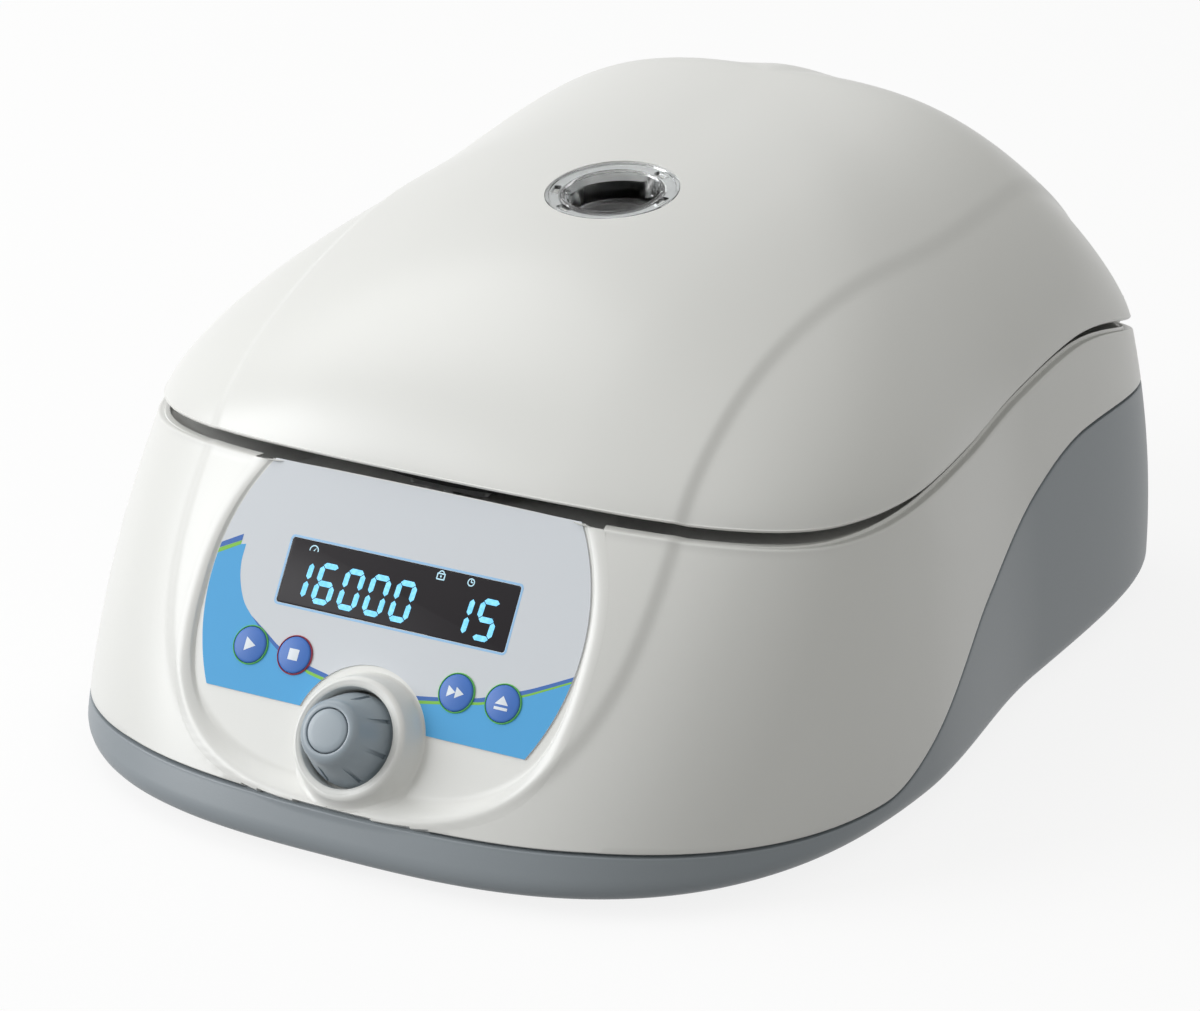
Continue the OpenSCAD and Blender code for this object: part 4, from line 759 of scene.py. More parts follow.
DISPLAY_W, DISPLAY_H, DISPLAY_V = 74.1, 18.5, 22.9
KEY_SPOTS = {"key_start": -41.2, "key_stop": -26.4, "key_quick": 26.4, "key_open": 41.2}
KEY_R, KEY_PLAY, COLLAR_R = 5.2, 0.2, 14.2
inner_line = offset(FLOOR_LINE, 0.3 - SLOPE_IN)
open_at = [i for i, (u, v) in enumerate(inner_line) if v < (rim_at(u) - PANEL_Z) / math.cos(TILT)]
last = max(i for i in open_at if inner_line[i][0] > 0)
left_start = min(i for i in open_at if inner_line[i][0] < 0 and inner_line[i][1] > 30)
edge_u = inner_line[last][0]
ordered = [tuple(p) for p in inner_line[:last + 1]]
ordered += [(u, (rim_at(u) - PANEL_Z) / math.cos(TILT)) for u in np.linspace(edge_u - 0.1, 0.1 - edge_u, 30)]
ordered += [tuple(p) for p in inner_line[left_start:]]
floor = prism("floor", ordered, -2.4, 0, panel)
carve(floor, [prism("pocket", rounded(DISPLAY_W + 0.3, DISPLAY_H + 0.3, 0.8, 0, DISPLAY_V), -1.2, 5, panel),
              prism("window", rounded(DISPLAY_W - 2, DISPLAY_H - 2, 0.6, 0, DISPLAY_V), -5, 5, panel),
              prism("cup", disc(15.5, 0, KNOB_V), -9, 9, panel)])
carve(floor, [prism("key", disc(KEY_R + KEY_PLAY, u, 0), -9, 9, panel) for u in KEY_SPOTS.values()])
housing = joined("upper_moulding", [housing, tub, floor])
skin_tree = BVHTree.FromObject(housing, bpy.context.evaluated_depsgraph_get())
# The collar round the knob is drawn in on its left. It blends into the panel's slope over a
# width that grows below the knob.
COLLAR = [(COLLAR_R, 5.0), (14.22, 5.8), (14.4, 6.25), (14.9, 6.5), (15.5, 6.65)]
COLLAR += arc(16.6, 4.8, 2.0, 112, 20, 12)
COLLAR += [(19.1, 4.3), (19.6, 3.1), (20.1, 1.9), (20.5, 0.8), (20.9, 0.2), (21.3, -0.4)]
COLLAR += [(21.5 + k * 0.8, -0.4 - k * 1.6) for k in range(1, 18)]
TURN, DRAWN_IN, BLEND_TOP, BLEND_FOOT, COLLAR_FOOT = 240, 0.2, 0.3, 6.0, 14.6
points, valid = [], []
for r, c in COLLAR:
    for a in np.arange(TURN) * 2 * math.pi / TURN:
        drawn = DRAWN_IN * (1 - math.cos(a)) * float(smooth((34 - r) / 8))
        reach = COLLAR_R + (r - COLLAR_R) * (1 - drawn)
        u, v = reach * math.cos(a), KNOB_V + reach * math.sin(a)
        skin_h = skin_height(u, v)
        ground = 0.0 if skin_h < 0 or reach < 16 else skin_h
        blend = BLEND_TOP + BLEND_FOOT * float(smooth((-r * math.sin(a) - 4) / 14))
        share = min(1, max(0, 0.5 + 0.5 * (c - ground) / blend))
        h = ground + (c - ground) * share + blend * share * (1 - share)
        h -= 0.05 * (1 - float(smooth((h - ground) / 0.5)))
        points.append(panel(u, v, h))
        valid.append(points[-1][2] > COLLAR_FOOT)
faces = []
for i in range(len(COLLAR) - 1):
    for j in range(TURN):
        quad = (i * TURN + j, i * TURN + (j + 1) % TURN, (i + 1) * TURN + (j + 1) % TURN, (i + 1) * TURN + j)
        if all(valid[q] for q in quad):
            faces.append(quad[::-1])
collar = piece("collar", points, faces)
cup = spun("cup", [(COLLAR_R, 5.0), (14.0, 4.4), (14.0, -4), (4.6, -4), (4.6, -6), (16.6, -6), (16.6, -0.4)],
           on_panel(0, KNOB_V), TURN)
HINGE_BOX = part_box("hinge_pins")
HINGE_Y = (HINGE_BOX[0].y + HINGE_BOX[1].y) * 500 + ORIGIN_Y
HINGE_Z = (HINGE_BOX[0].z + HINGE_BOX[1].z) * 500 - FOOT_H
BARREL_R, PIN_R, HINGE_X = 5.0, 2.0, 72.0
LUG_SINK = WALL - 0.8


def rear_at(x, z):
    """Where the rear wall's face lies, at a place across it and a height."""
    reach = float(rear_y(np.float64(z))) - WIDEST_Y
    half = float(half_w(np.float64(z))) * (1 - REAR_TAPER)
    return WIDEST_Y + reach * (1 - (x / half) ** REAR_POWER) ** (1 / REAR_POWER)


def lug(x, w, web_z):
    """A hinge lug: a barrel round the pin on a web that runs to the wall below or the lid above."""

    def lay(u, v, h):
        return (x - w / 2 + h, u, v)

    side = abs(x) + w / 2
    root = rear_at(side, HINGE_Z + web_z) - LUG_SINK
    if web_z < 0:
        web = [(HINGE_Y - 1, HINGE_Z + 1), (rear_at(side, HINGE_Z) - LUG_SINK, HINGE_Z - 4),
               (root, HINGE_Z + web_z), (HINGE_Y + BARREL_R * 0.96, HINGE_Z - 1.4)]
    else:
        web = [(HINGE_Y, HINGE_Z + BARREL_R), (root - 6.5, HINGE_Z + web_z),
               (rear_at(side, 76.2) - LUG_SINK, 81.2), (HINGE_Y - 2, HINGE_Z)]
    barrel = prism("barrel", disc(BARREL_R, HINGE_Y, HINGE_Z, 72), 0, w, lay)
    carve(barrel, [prism("web", web, 0, w, lay)], "UNION")
    return carve(barrel, [prism("bore", disc(PIN_R + 0.06, HINGE_Y, HINGE_Z, 48), -1, w + 1, lay)])


lugs = [lug(side * (HINGE_X + k * 13), 5.6, -10) for side in (-1, 1) for k in (-1, 1)]
housing = joined("upper_moulding", [housing, collar, cup] + lugs)
mod = housing.modifiers.new("weld", "WELD")
mod.merge_threshold = 0.000005
applied(housing)
HOUSING_PLASTIC = Finish("off_white_plastic", (0.79, 0.79, 0.765), 0.34,
                         Coat_Weight=0.15, Coat_Roughness=0.25)
HOUSING_PLASTIC.moulded(grain=1900, depth=0.000012, shift=0.012, rough_shift=0.04)
show(soften(housing, 32), HOUSING_PLASTIC, instead_of=["upper_housing"])

# Overlay: a printed polyester sheet stuck to the flat: pale lilac-white with a sky-blue field
# along its foot, edged by dark-blue and green stripes. The places of names are left bare.
OVERLAY_T = 0.4


def overlay_outline(grow=0.0):
    shift, r = SIDE_R - HALF_W, SIDE_R + grow
    low, high = math.asin((-OVERLAY_LOW - WIDE_V) / r), math.asin((OVERLAY_HIGH - WIDE_V) / r)
    right = [(-shift + r * math.cos(a), WIDE_V + r * math.sin(a)) for a in np.linspace(low, high, 80)]
    return right + [(-u, v) for u, v in right[::-1]]


def collar_cut():
    return prism("cut", disc(21.4, 0, KNOB_V, 120), -3, 9, panel)


def key_cuts():
    return [prism("cut", disc(KEY_R + KEY_PLAY, u, 0, 96), -3, 9, panel) for u in KEY_SPOTS.values()]


overlay = prism("overlay_sheet", overlay_outline(), 0.02, OVERLAY_T, panel)
pane = prism("cut", rounded(DISPLAY_W + 0.3, DISPLAY_H + 0.3, 0.8, 0, DISPLAY_V), -3, 9, panel)
carve(overlay, [collar_cut(), pane] + key_cuts())
SHEET = Finish("overlay_sheet", (0.67, 0.7, 0.74), 0.45, Specular_IOR_Level=0.35)
SHEET.moulded(grain=5200, depth=0.00001, shift=0.01)
show(soften(overlay, 30), SHEET, instead_of=["panel_overlay"])


def flow(points, steps=14):
    """A smooth line through points, each next one reached on a Catmull-Rom curve."""
    p = [np.array(q, float) for q in [points[0], *points, points[-1]]]
    line = []
    for a, b, c, d in zip(p, p[1:], p[2:], p[3:]):
        for t in np.linspace(0, 1, steps, endpoint=False):
            line.append(tuple(0.5 * (2 * b + (c - a) * t + (2 * a - 5 * b + 4 * c - d) * t * t
                                     + (3 * b - a - 3 * c + d) * t ** 3)))
    return line + [tuple(points[-1])]


def printed(name, shape, colour, lift):
    """A flat of printed ink on the sheet, kept inside the sheet and off the collar and the keys."""
    ink = prism(name, shape, OVERLAY_T - 0.1, OVERLAY_T + lift, panel)
    carve(ink, [prism("keep", overlay_outline(-0.05), -3, 9, panel)], "INTERSECT")
    carve(ink, [collar_cut()] + key_cuts())
    finish = Finish(name, colour, 0.5, Specular_IOR_Level=0.3).moulded(grain=5200, depth=0.00001, shift=0.02)
    return show(soften(ink, 30), finish)


LEFT_TOP = flow([(-51.7, 27.4), (-51.6, 22), (-50.1, 16.6), (-47.2, 11.4), (-43.6, 8.0)])
LEFT_DARK_LOW = flow([(-43.6, 8.0), (-38, 3.8), (-32, 0.1), (-26.4, -2.0), (-21, -3.3), (-12, -4.8)])
LEFT_DARK_TOP = flow([(-43.6, 8.0), (-38, 4.8), (-32, 1.3), (-26.4, -0.7), (-21, -2.0), (-12, -3.6)])
RIGHT_DARK_TOP = flow([(12, -3.6), (21, -2.3), (31.5, -0.4), (36, 0.9), (46, 4.7), (52, 7.4), (62, 12.4)])
RIGHT_DARK_LOW = flow([(12, -4.9), (21, -3.4), (31.5, -1.5), (36, -0.4), (46, 3.4), (52, 6.2), (62, 11.2)])
left_field = [(-70, 17.6), (-53.3, 27.0)] + LEFT_TOP + LEFT_DARK_LOW[1:] + [(-12, -20), (-70, -20)]
right_field = [(12, -20), (70, -20), (62, 11.2)] + RIGHT_DARK_LOW[::-1][1:]
SKY_INK, DARK_INK, GREEN_INK = (0.085, 0.41, 0.78), (0.055, 0.165, 0.5), (0.24, 0.58, 0.075)
printed("print_sky_left", left_field[::-1], SKY_INK, 0.03)
printed("print_sky_right", right_field, SKY_INK, 0.03)
printed("print_stripe_left", LEFT_DARK_LOW + LEFT_DARK_TOP[::-1][:-1], DARK_INK, 0.05)
printed("print_stripe_right", RIGHT_DARK_LOW + RIGHT_DARK_TOP[::-1], DARK_INK, 0.05)
left_green = [p for p in LEFT_DARK_LOW if p[0] > -24]
left_foot = [(u, v - 0.9 * min(1, (u + 24) / 3)) for u, v in left_green]
printed("print_green_left", left_foot + left_green[::-1][:-1], GREEN_INK, 0.05)
right_foot = [(u, v - 0.95 + 0.008 * (u - 12)) for u, v in RIGHT_DARK_LOW]
printed("print_green_right", right_foot + RIGHT_DARK_LOW[::-1], GREEN_INK, 0.05)
printed("print_flag_blue", [(-70, 19.6), (-53.3, 28.2), (-53.3, 30.0), (-70, 20.8)], DARK_INK, 0.05)
printed("print_flag_green", [(-70, 17.8), (-53.4, 26.9), (-53.3, 28.1), (-70, 19.5)], GREEN_INK, 0.05)
frame_line = prism("print_display_line", rounded(DISPLAY_W + 1.7, DISPLAY_H + 1.7, 1.3, 0, DISPLAY_V),
                   OVERLAY_T - 0.1, OVERLAY_T + 0.04, panel)
carve(frame_line, [prism("cut", rounded(DISPLAY_W + 0.5, DISPLAY_H + 0.5, 0.8, 0, DISPLAY_V), -3, 9, panel)])
LINE_INK = Finish("print_display_line", (0.3, 0.56, 0.85), 0.34).moulded(shift=0.02)
show(soften(frame_line, 30), LINE_INK)

# Display: a smoked window flush in the sheet, with lit sky-blue seven-segment figures on its face.
# The figures are plain numbers, and small generic signs stand over them.
window = prism("display_glass", rounded(DISPLAY_W, DISPLAY_H, 0.7, 0, DISPLAY_V), -1.2, OVERLAY_T, panel)
GLASS_DARK = Finish("display_glass", (0.03, 0.027, 0.03), 0.4, Specular_IOR_Level=0.12)
haze = GLASS_DARK.at.noise(60.0, 2.0)
GLASS_DARK.feed("Roughness", 0.36 + haze * 0.1)
show(soften(window, 30, bevel=0.12), GLASS_DARK, instead_of=["display_window"])

FIGURE_H, FIGURE_W, FIGURE_FOOT, BAR, LEAN = 11.9, 6.5, 15.2, 1.6, 0.065
SEGMENTS = {"0": "abcdef", "1": "bc", "5": "acdfg", "6": "acdefg"}


def segment_shapes():
    """The seven bars of a figure, each a six-sided bar with mitred ends."""
    w, h, t, gap = FIGURE_W, FIGURE_H, BAR, 0.28

    def flat(y):
        tip, shoulder = gap + t * 0.35, gap + t * 0.85
        return [(shoulder, y - t / 2), (w - shoulder, y - t / 2), (w - tip, y),
                (w - shoulder, y + t / 2), (shoulder, y + t / 2), (tip, y)]

    def tall(x, low, high):
        foot, head = low + gap, high - gap
        return [(x, foot), (x + t / 2, foot + t / 2), (x + t / 2, head - t / 2), (x, head),
                (x - t / 2, head - t / 2), (x - t / 2, foot + t / 2)]

    low, mid, high = t / 2, h / 2, h - t / 2
    return {"a": flat(high), "d": flat(low), "g": flat(mid),
            "b": tall(w - t / 2, mid, high), "c": tall(w - t / 2, low, mid),
            "e": tall(t / 2, low, mid), "f": tall(t / 2, mid, high)}


def bars(name, shapes_list):
    """Thin prisms that stand level with the window's face."""
    return [prism(name, s, OVERLAY_T - 0.05, OVERLAY_T + 0.03, panel) for s in shapes_list]


figures = []
shapes = segment_shapes()
for text, lefts in (("16000", [-35.2, -26.75, -18.3, -9.85, -1.4]), ("15", [17.3, 25.6])):
    for figure, left in zip(text, lefts):
        figures += bars("bar", [[(left + x + LEAN * y, FIGURE_FOOT + y) for x, y in shapes[name]]
                                for name in SEGMENTS[figure]])
lit = joined("display_figures", figures)
LIT = Finish("lit_figures", (0.1, 0.45, 0.72), 0.4, Emission_Strength=0.62)
cells = LIT.at.noise(900.0, 1.0)
LIT.feed("Emission Color", cells.over(0.35, 0.65).tint((0.13, 0.52, 0.8), (0.3, 0.75, 1.0)))
show(soften(lit, 30), LIT)


def ring_shape(cx, cy, r, width, start, end, steps=24):
    """A part of a flat ring, between two angles."""
    return arc(cx, cy, r, start, end, steps) + arc(cx, cy, r - width, end, start, steps)


signs = bars("lock", [rounded(2.6, 0.35, 0.1, 11.9, 31.0), rounded(2.6, 0.35, 0.1, 11.9, 29.4),
                      rounded(0.35, 1.9, 0.1, 10.75, 30.2), rounded(0.35, 1.9, 0.1, 13.05, 30.2),
                      disc(0.3, 11.9, 30.2, 12), ring_shape(11.9, 31.0, 0.95, 0.3, 0, 180, 14)])
signs += bars("clock", [ring_shape(21.6, 30.4, 1.15, 0.3, 0, 180),
                        ring_shape(21.6, 30.4, 1.15, 0.3, 180, 360),
                        rounded(0.28, 0.9, 0.08, 21.6, 30.75), rounded(0.7, 0.28, 0.08, 21.9, 30.4)])
signs += bars("dial", [ring_shape(-29.6, 29.7, 1.5, 0.32, -10, 190),
                       [(-29.8, 29.5), (-29.4, 29.5), (-28.8, 30.8)]])
PALE_SIGN = Finish("display_signs", (0.35, 0.6, 0.72), 0.4, Emission_Strength=0.35)
PALE_SIGN.feed("Emission Color", PALE_SIGN.at.noise(800.0, 1.0).tint((0.5, 0.8, 0.95), (0.7, 0.92, 1.0)))
show(soften(joined("display_signs", signs), 30), PALE_SIGN)

# Keys: four domed blue caps in raised rings, green round three and dark red round the stop key.
DOME_H, KEY_RIM = 0.5, 0.95
DOME_R = (KEY_R ** 2 + DOME_H ** 2) / (2 * DOME_H)
KEY_BLUE = Finish("key_cap", (0.045, 0.165, 0.54), 0.45)
KEY_BLUE.moulded(grain=2600, depth=0.00001, shift=0.05)
RING_GREEN = Finish("key_ring_green", (0.12, 0.53, 0.1), 0.36).moulded(grain=2600, shift=0.04)
RING_RED = Finish("key_ring_red", (0.36, 0.025, 0.05), 0.36).moulded(grain=2600, shift=0.04)
KEY_WHITE = Finish("key_print", (0.78, 0.84, 0.9), 0.4).moulded(grain=2600, shift=0.01)
KEY_SIGNS = {
    "key_start": [[(-1.3, -2.0), (2.1, 0.0), (-1.3, 2.0)]],
    "key_stop": [[(-1.6, -1.6), (1.6, -1.6), (1.6, 1.6), (-1.6, 1.6)]],
    "key_quick": [[(-2.5, -1.6), (0.1, 0.0), (-2.5, 1.6)], [(0.1, -1.6), (2.7, 0.0), (0.1, 1.6)]],
    "key_open": [[(-2.1, -0.4), (2.1, -0.4), (0.0, 2.1)],
                 [(-2.1, -1.9), (2.1, -1.9), (2.1, -1.1), (-2.1, -1.1)]],
}
RING_PROFILE = [(5.3, 0.1), (5.3, 0.7), (5.36, 0.82), (5.48, 0.86), (5.6, 0.78), (5.66, 0.55), (5.7, 0.1)]


def dome_height(u, v):
    return KEY_RIM + DOME_H + math.sqrt(max(0, DOME_R ** 2 - u * u - v * v)) - DOME_R


def sign_on_dome(name, shapes_list, cu):
    """Thin printed shapes that follow the cap's dome."""
    bm = bmesh.new()
    for shape in shapes_list:
        bm.faces.new([bm.verts.new((u, v, 0)) for u, v in shape])
    bmesh.ops.triangulate(bm, faces=bm.faces[:])
    for _ in range(3):
        bmesh.ops.subdivide_edges(bm, edges=bm.edges[:], cuts=1, use_grid_fill=True)
    points = [panel(cu + v.co.x, v.co.y, dome_height(v.co.x, v.co.y) + 0.025) for v in bm.verts]
    bm.verts.index_update()
    faces = [tuple(v.index for v in f.verts) for f in bm.faces]
    bm.free()
    return piece(name, points, faces)


for name, cu in KEY_SPOTS.items():
    top = math.asin((KEY_R - 0.3) / DOME_R)
    dome = [(DOME_R * math.sin(a), KEY_RIM + DOME_H + DOME_R * (math.cos(a) - 1))
            for a in np.linspace(top, 0, 12)]
    cap = spun("cap_" + name, [(0, -7.5), (2.5, -7.5), (2.5, -3.6), (6.2, -3.6), (6.2, -2.8), (KEY_R, -2.8),
                               (KEY_R, KEY_RIM - 0.35), (KEY_R - 0.06, KEY_RIM - 0.12)] + dome[:-1]
               + [(0, KEY_RIM + DOME_H)], on_panel(cu, 0), 96)
    show(soften(cap, 40), KEY_BLUE, name, [name])
    show(sign_on_dome("sign_" + name, KEY_SIGNS[name], cu), KEY_WHITE, name)
    ring = spun("ring_" + name, RING_PROFILE, on_panel(cu, 0), 96)
    show(soften(ring, 50), RING_RED if name == "key_stop" else RING_GREEN)

# Knob: a hollow blue-grey moulding on the encoder's shaft, with ramped grip grooves and a flush
# round cap that snaps into its nose, leaving a thin dark ring.
KNOB_H, CAP_R, KNOB_R = 17.4, 6.1, 13.2
KNOB_GREY = Finish("knob_plastic", (0.33, 0.385, 0.43), 0.33, Coat_Weight=0.1, Coat_Roughness=0.25)
KNOB_GREY.moulded(grain=2200, depth=0.000012, shift=0.02)
KNOB_PROFILE = [(2.6, -1.2), (2.6, 9.1), (0, 9.1), (0, KNOB_H - 2.2), (6.4, KNOB_H - 2.2),
                (6.4, KNOB_H - 0.42), (6.5, KNOB_H - 0.24), (6.7, KNOB_H - 0.18), (7.4, KNOB_H - 0.24),
                (8.0, KNOB_H - 0.5), (8.55, KNOB_H - 0.95), (8.95, KNOB_H - 1.55), (9.25, KNOB_H - 2.3),
                (9.5, KNOB_H - 3.1), (9.8, 13.3), (10.3, 12.0), (11.0, 10.1), (11.7, 8.1), (12.35, 6.2),
                (12.8, 4.7), (13.1, 3.2), (KNOB_R, 1.6), (KNOB_R, -2.2), (12.9, -3), (11.5, -3), (10.6, 6.5),
                (8.6, 11), (6, 12.4), (5, 11.5), (5, -1.2), (2.6, -1.2)]
CAP_PROFILE = [(0, KNOB_H - 2.2), (CAP_R, KNOB_H - 2.2), (CAP_R, KNOB_H - 0.35),
               (CAP_R - 0.12, KNOB_H - 0.12), (CAP_R - 0.4, KNOB_H), (4.4, KNOB_H + 0.08),
               (2.2, KNOB_H + 0.14), (0, KNOB_H + 0.16)]


def groove_tool(spots, size):
    """A slanted bar, so that a groove is deepest beside the collar."""
    bar = spots.node("GeometryNodeMeshCube", Size=vector(size["Depth"], size["Groove"], size["Depth"] * 2.2))
    return moved(bar, None, (0.0, math.radians(-12.4), 0.0))


knob = spun("knob_body", KNOB_PROFILE[::-1], on_panel(0, KNOB_V), 192)
cuts = grown("knob_grooves", KNOB_GREY, [panel(0, KNOB_V, 0)],
             {"Count": 8, "Start": math.radians(33), "Reach": 0.01293, "Rise": 0.00883,
              "Lean": math.pi / 2 - TILT, "Groove": 0.0012, "Depth": 0.004}, ringed(groove_tool))
carve(knob, [cuts])
show(soften(knob, 38), KNOB_GREY, "knob", ["knob"])
cap = spun("knob_button", CAP_PROFILE, on_panel(0, KNOB_V), 144)
show(soften(cap, 40), KNOB_GREY, "knob", ["knob_cap"])

# Lid: one domed off-white moulding with a soft raised centre strip, a sunk seat for the
# viewing port and two hinge lugs. Its edge is rounded, and its wall is of one thickness.
CROWN_H, CROWN_Y, CROWN_TILT = 157.8, 254.8, math.tan(math.radians(7.2))
LID_W, EDGE_R = LID_SEAM[:, 0].max(), 0.9
# How blunt the dome's curve is, and how steeply it lifts, at the front, sides, rear and corners.
BLUNT, LIFT = (4.43, 2.69, 1.96, 1.61), (1.21, 1.4, 1.26, 0.0)


def arch(s, t, top):
    """One ring of the lid: s runs from the crown, 0, to the edge, 1."""
    x, y = outline(LID_SEAM[:, 2], t)
    back = y - CROWN_Y
    u = x / LID_W
    v = back / np.where(back < 0, CROWN_Y - LID_SEAM[FRONT, 1], LID_SEAM[REAR, 1] - CROWN_Y)
    wide = np.hypot(u, v)
    side = (u / wide) ** 2
    along = 1 - side
    blunt, lift = [side * sides + along * np.where(back < 0, front, rear) - side * along * corners
                   for front, sides, rear, corners in (BLUNT, LIFT)]
    g = s * (1 / wide + (1 - 1 / wide) * s ** 1.2)
    z = LID_SEAM[:, 2] + (top - LID_SEAM[:, 2]) * np.maximum(0, 1 - s ** blunt) ** (1 / lift)
    z = z + g * back * CROWN_TILT * (1 - s * s)
    return raised(np.stack([g * x, CROWN_Y + g * back, z], 1))


def lid_rows():
    """The lid's rows: the outside from the crown down, the rounded edge, and the inside."""
    shares = 1 - (1 - np.linspace(0, 1, 112)) ** 1.9
    low = arch(1.0, 0.0, CROWN_H) + [0, 0, EDGE_R]
    outer = [arch(s, 0.0, CROWN_H) for s in (0.012 + (0.9994 - 0.012) * shares)]
    outer = [np.where(r[:, 2:3] < low[:, 2:3], low, r) for r in outer]
    inner_shares = np.array([1, 0.98, 0.95, 0.9, 0.82, 0.7, 0.6, 0.5, 0.4, 0.3, 0.2, 0.1, 0.03])
    inner = [arch(s, WALL, CROWN_H - WALL) for s in inner_shares]
    return outer + edge_rows(low, EDGE_R, -1) + inner


PORT_R, CUP_R, PORT_SINK, CLEAR_T = 19.7, 14.2, 0.9, 1.2


def crown_line(y):
    """The lid's height on its middle line, in front of the crown."""
    s = (CROWN_Y - y) / (CROWN_Y - LID_SEAM[FRONT, 1])
    return arch(s, 0.0, CROWN_H)[FRONT][2]


PORT_Z = crown_line(AXIS_Y)
PORT_TILT = math.atan((crown_line(AXIS_Y + 8) - crown_line(AXIS_Y - 8)) / 16)


def at_port(u, v, h):
    return (u, AXIS_Y + v * math.cos(PORT_TILT) - h * math.sin(PORT_TILT),
            PORT_Z + v * math.sin(PORT_TILT) + h * math.cos(PORT_TILT))


lid = skin("lid_moulding", lid_rows()[::-1])
carve(lid, [prism("seat", disc(PORT_R + 2, 0, 0, 120), -5, -1.6, at_port)], "UNION")
carve(lid, [lug(side * (HINGE_X - 4), 11.4, 14) for side in (-1, 1)], "UNION")
carve(lid, [prism("port", disc(PORT_R + 0.15, 0, 0, 168), -PORT_SINK - CLEAR_T - 0.05, 18, at_port),
            prism("port", disc(CUP_R + 1.6, 0, 0, 120), -20, 10, at_port)])
show(soften(lid, 32), HOUSING_PLASTIC, "lid", ["lid_shell"])

# Springs: two open coils of bright wire on the hinge pins hold up the weight of the lid.
# Each is wound along its pin, between the lugs of the lid and of the housing.
def spring_pair(spots, size):
    wound = coil(spots, size["Turns"], size["Mean radius"], size["Wire"], size["Length"], 12)
    return at_points(spots, moved(wound, None, (0.0, math.pi / 2, 0.0)))


springs = grown("hinge_springs", STEEL,
                [(-HINGE_X - 8.7, HINGE_Y, HINGE_Z), (HINGE_X + 3.2, HINGE_Y, HINGE_Z)],
                {"Turns": 3.0, "Mean radius": 0.0035, "Wire": 0.0007, "Length": 0.0055}, spring_pair)
show(soften(springs, 50), STEEL, "housing", ["lid_springs"])

# Viewing port: a clear moulded cup whose flange is pressed into the lid's seat, with four small
# windows in the flange and four clip legs inside. Its floor is clearer than its flange.
CUP_PROFILE = [(0, -9.0), (12.6, -9.0), (13.4, -8.6), (15.3, -1.15), (19.62, -1.15), (19.68, -1.0),
               (19.68, 0.05), (19.55, 0.25), (19.2, 0.34), (18.7, 0.3), (18.5, 0.05), (15.0, 0.05),
               (14.75, 0.25), (14.4, 0.3), (14.15, 0.1), (13.9, -0.6), (12.2, -7.8), (0, -7.8)]
CUP_FLOOR_Y = (AXIS_Y - ORIGIN_Y + 1.6) / 1000


def round_port(degrees):
    """A lay turned by an angle about the port's axis."""
    a = math.radians(degrees)

    def lay(u, v, h):
        return at_port(u * math.cos(a) - v * math.sin(a), u * math.sin(a) + v * math.cos(a), h)

    return lay


cup = spun("port_cup_clear", CUP_PROFILE, lambda u, v, h: at_port(u, v, h - PORT_SINK), 168)
carve(cup, [prism("slot", rounded(2.2, 5.0, 0.3, 16.9, 0), -6, 5, round_port(degrees))
            for degrees in (-3, 62, 196, 243)])
carve(cup, [prism("leg", rounded(1.5, 1.3, 0.3, 13.4, 0), -7.2, -1.4, round_port(degrees))
            for degrees in (56, 67, 196, 207)], "UNION")
CLEAR = Finish("clear_plastic", (0.93, 0.95, 0.96), 0.06,
               Transmission_Weight=1.0, IOR=1.49, Specular_IOR_Level=0.2)
CLEAR.feed("Roughness", 0.03 + CLEAR.at.noise(90.0, 2.0) * 0.06)
across, along = CLEAR.at.axes()[:2]
from_axis = (across ** 2.0 + (along - CUP_FLOOR_Y) ** 2.0) ** 0.5
CLEAR.feed("Alpha", from_axis.over(0.0129, 0.0134) * 0.9 + 0.1)
show(soften(cup, 35), CLEAR, "lid", ["port_cup"])

# Stage: a floor that the camera sees nearly white, with soft shadows, a pale world, and three
# broad lamps, to the left, above and to the right.
stage = mesh_object("stage_floor", [(-6, -6, 0), (6, -6, 0), (6, 6, 0), (-6, 6, 0)], [(0, 1, 2, 3)])
paper = bpy.data.materials.new("stage_paper")
paper.use_nodes = True
nodes = paper.node_tree.nodes
join = paper.node_tree.links.new
nodes["Principled BSDF"].inputs["Base Color"].default_value = (0.28, 0.28, 0.28, 1)
nodes["Principled BSDF"].inputs["Roughness"].default_value = 0.9


def background_rays(tree):
    """One for camera, glossy and transmission rays, which see the plain background."""
    path = tree.nodes.new("ShaderNodeLightPath")
    rays = [Wire(tree, path.outputs["Is %s Ray" % kind]) for kind in ("Camera", "Glossy", "Transmission")]
    total = rays[0] + rays[1] + rays[2]
    return total.over(0.0, 1.0).socket


glow = nodes.new("ShaderNodeEmission")
shade = nodes.new("ShaderNodeBsdfDiffuse")
shade.inputs["Color"].default_value = (1, 1, 1, 1)
pale = nodes.new("ShaderNodeMixShader")
pale.inputs[0].default_value = 0.15
join(glow.outputs[0], pale.inputs[1])
join(shade.outputs[0], pale.inputs[2])
mix = nodes.new("ShaderNodeMixShader")
join(background_rays(paper.node_tree), mix.inputs[0])
join(nodes["Principled BSDF"].outputs[0], mix.inputs[1])
join(pale.outputs[0], mix.inputs[2])
join(mix.outputs[0], nodes["Material Output"].inputs["Surface"])
stage.data.materials.append(paper)

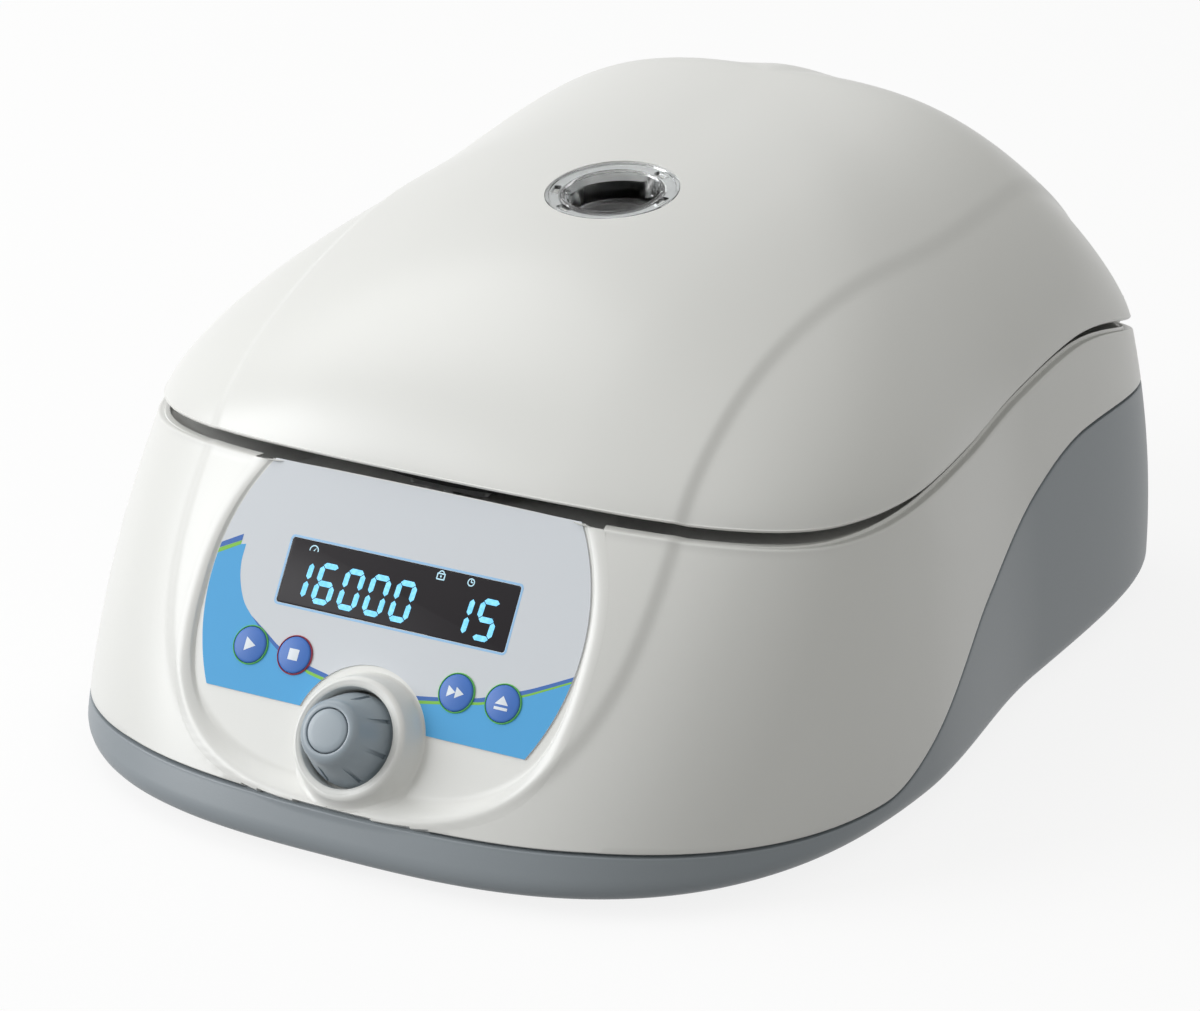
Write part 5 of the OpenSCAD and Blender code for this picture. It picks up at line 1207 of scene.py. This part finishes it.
world = bpy.data.worlds.new("pale_world")
bpy.context.scene.world = world
world.use_nodes = True
world_nodes = world.node_tree.nodes
world_join = world.node_tree.links.new
ground = world_nodes["Background"]
ground.inputs["Color"].default_value = (1, 1, 0.965, 1)
ground.inputs["Strength"].default_value = 0.41
seen = world_nodes.new("ShaderNodeBackground")
seen.inputs["Strength"].default_value = 1.0
pick = world_nodes.new("ShaderNodeMixShader")
world_join(background_rays(world.node_tree), pick.inputs[0])
world_join(ground.outputs[0], pick.inputs[1])
world_join(seen.outputs[0], pick.inputs[2])
world_join(pick.outputs[0], world_nodes["World Output"].inputs["Surface"])


def lamp(name, at, towards, size, watts, colour=(1, 1, 1)):
    data = bpy.data.lights.new(name, "AREA")
    data.shape, data.size, data.energy, data.color = "DISK", size, watts, colour
    ob = bpy.data.objects.new(name, data)
    ob.location = at
    ob.rotation_euler = (Vector(towards) - Vector(at)).to_track_quat("-Z", "Y").to_euler()
    bpy.context.scene.collection.objects.link(ob)


lamp("key_lamp", (-1.75, -1.25, 1.0), (0, 0, 0.08), 1.5, 34, (0.97, 0.985, 1.0))
lamp("top_lamp", (-1.0, 0.2, 1.6), (0, 0, 0.1), 1.4, 8)
lamp("fill_lamp", (1.6, -0.7, 0.8), (0, 0, 0.08), 1.2, 1.5)

# Camera: it stands where the photographer's did. Its angles, in radians, its place, in
# millimetres, and its focal length, in pixels of the photograph, were solved from the outlines.
AZIMUTH, ELEVATION, ROLL = 0.5280192, 0.3797926, -0.0080097
ACROSS, UPWARDS, DISTANCE, FOCAL_PX = 76.28554, 98.15965, 1218.26902, 4456.78643
PHOTO_W, SENSOR_W = 1200, 36.0
back = np.array([math.sin(AZIMUTH) * math.cos(ELEVATION), -math.cos(AZIMUTH) * math.cos(ELEVATION),
                 math.sin(ELEVATION)])
level_right = np.array([math.cos(AZIMUTH), math.sin(AZIMUTH), 0])
level_up = np.cross(back, level_right)
right = math.cos(ROLL) * level_right + math.sin(ROLL) * level_up
up = math.cos(ROLL) * level_up - math.sin(ROLL) * level_right
eye = bpy.data.cameras.new("camera")
eye.sensor_width, eye.lens = SENSOR_W, FOCAL_PX * SENSOR_W / PHOTO_W
camera = bpy.data.objects.new("camera", eye)
spot = place([ACROSS * right + UPWARDS * up + DISTANCE * back])[0]
camera.matrix_world = Matrix([[right[k], up[k], back[k], spot[k]] for k in range(3)] + [[0, 0, 0, 1]])
bpy.context.scene.collection.objects.link(camera)
bpy.context.scene.camera = camera
bpy.context.scene.view_settings.view_transform = "Standard"
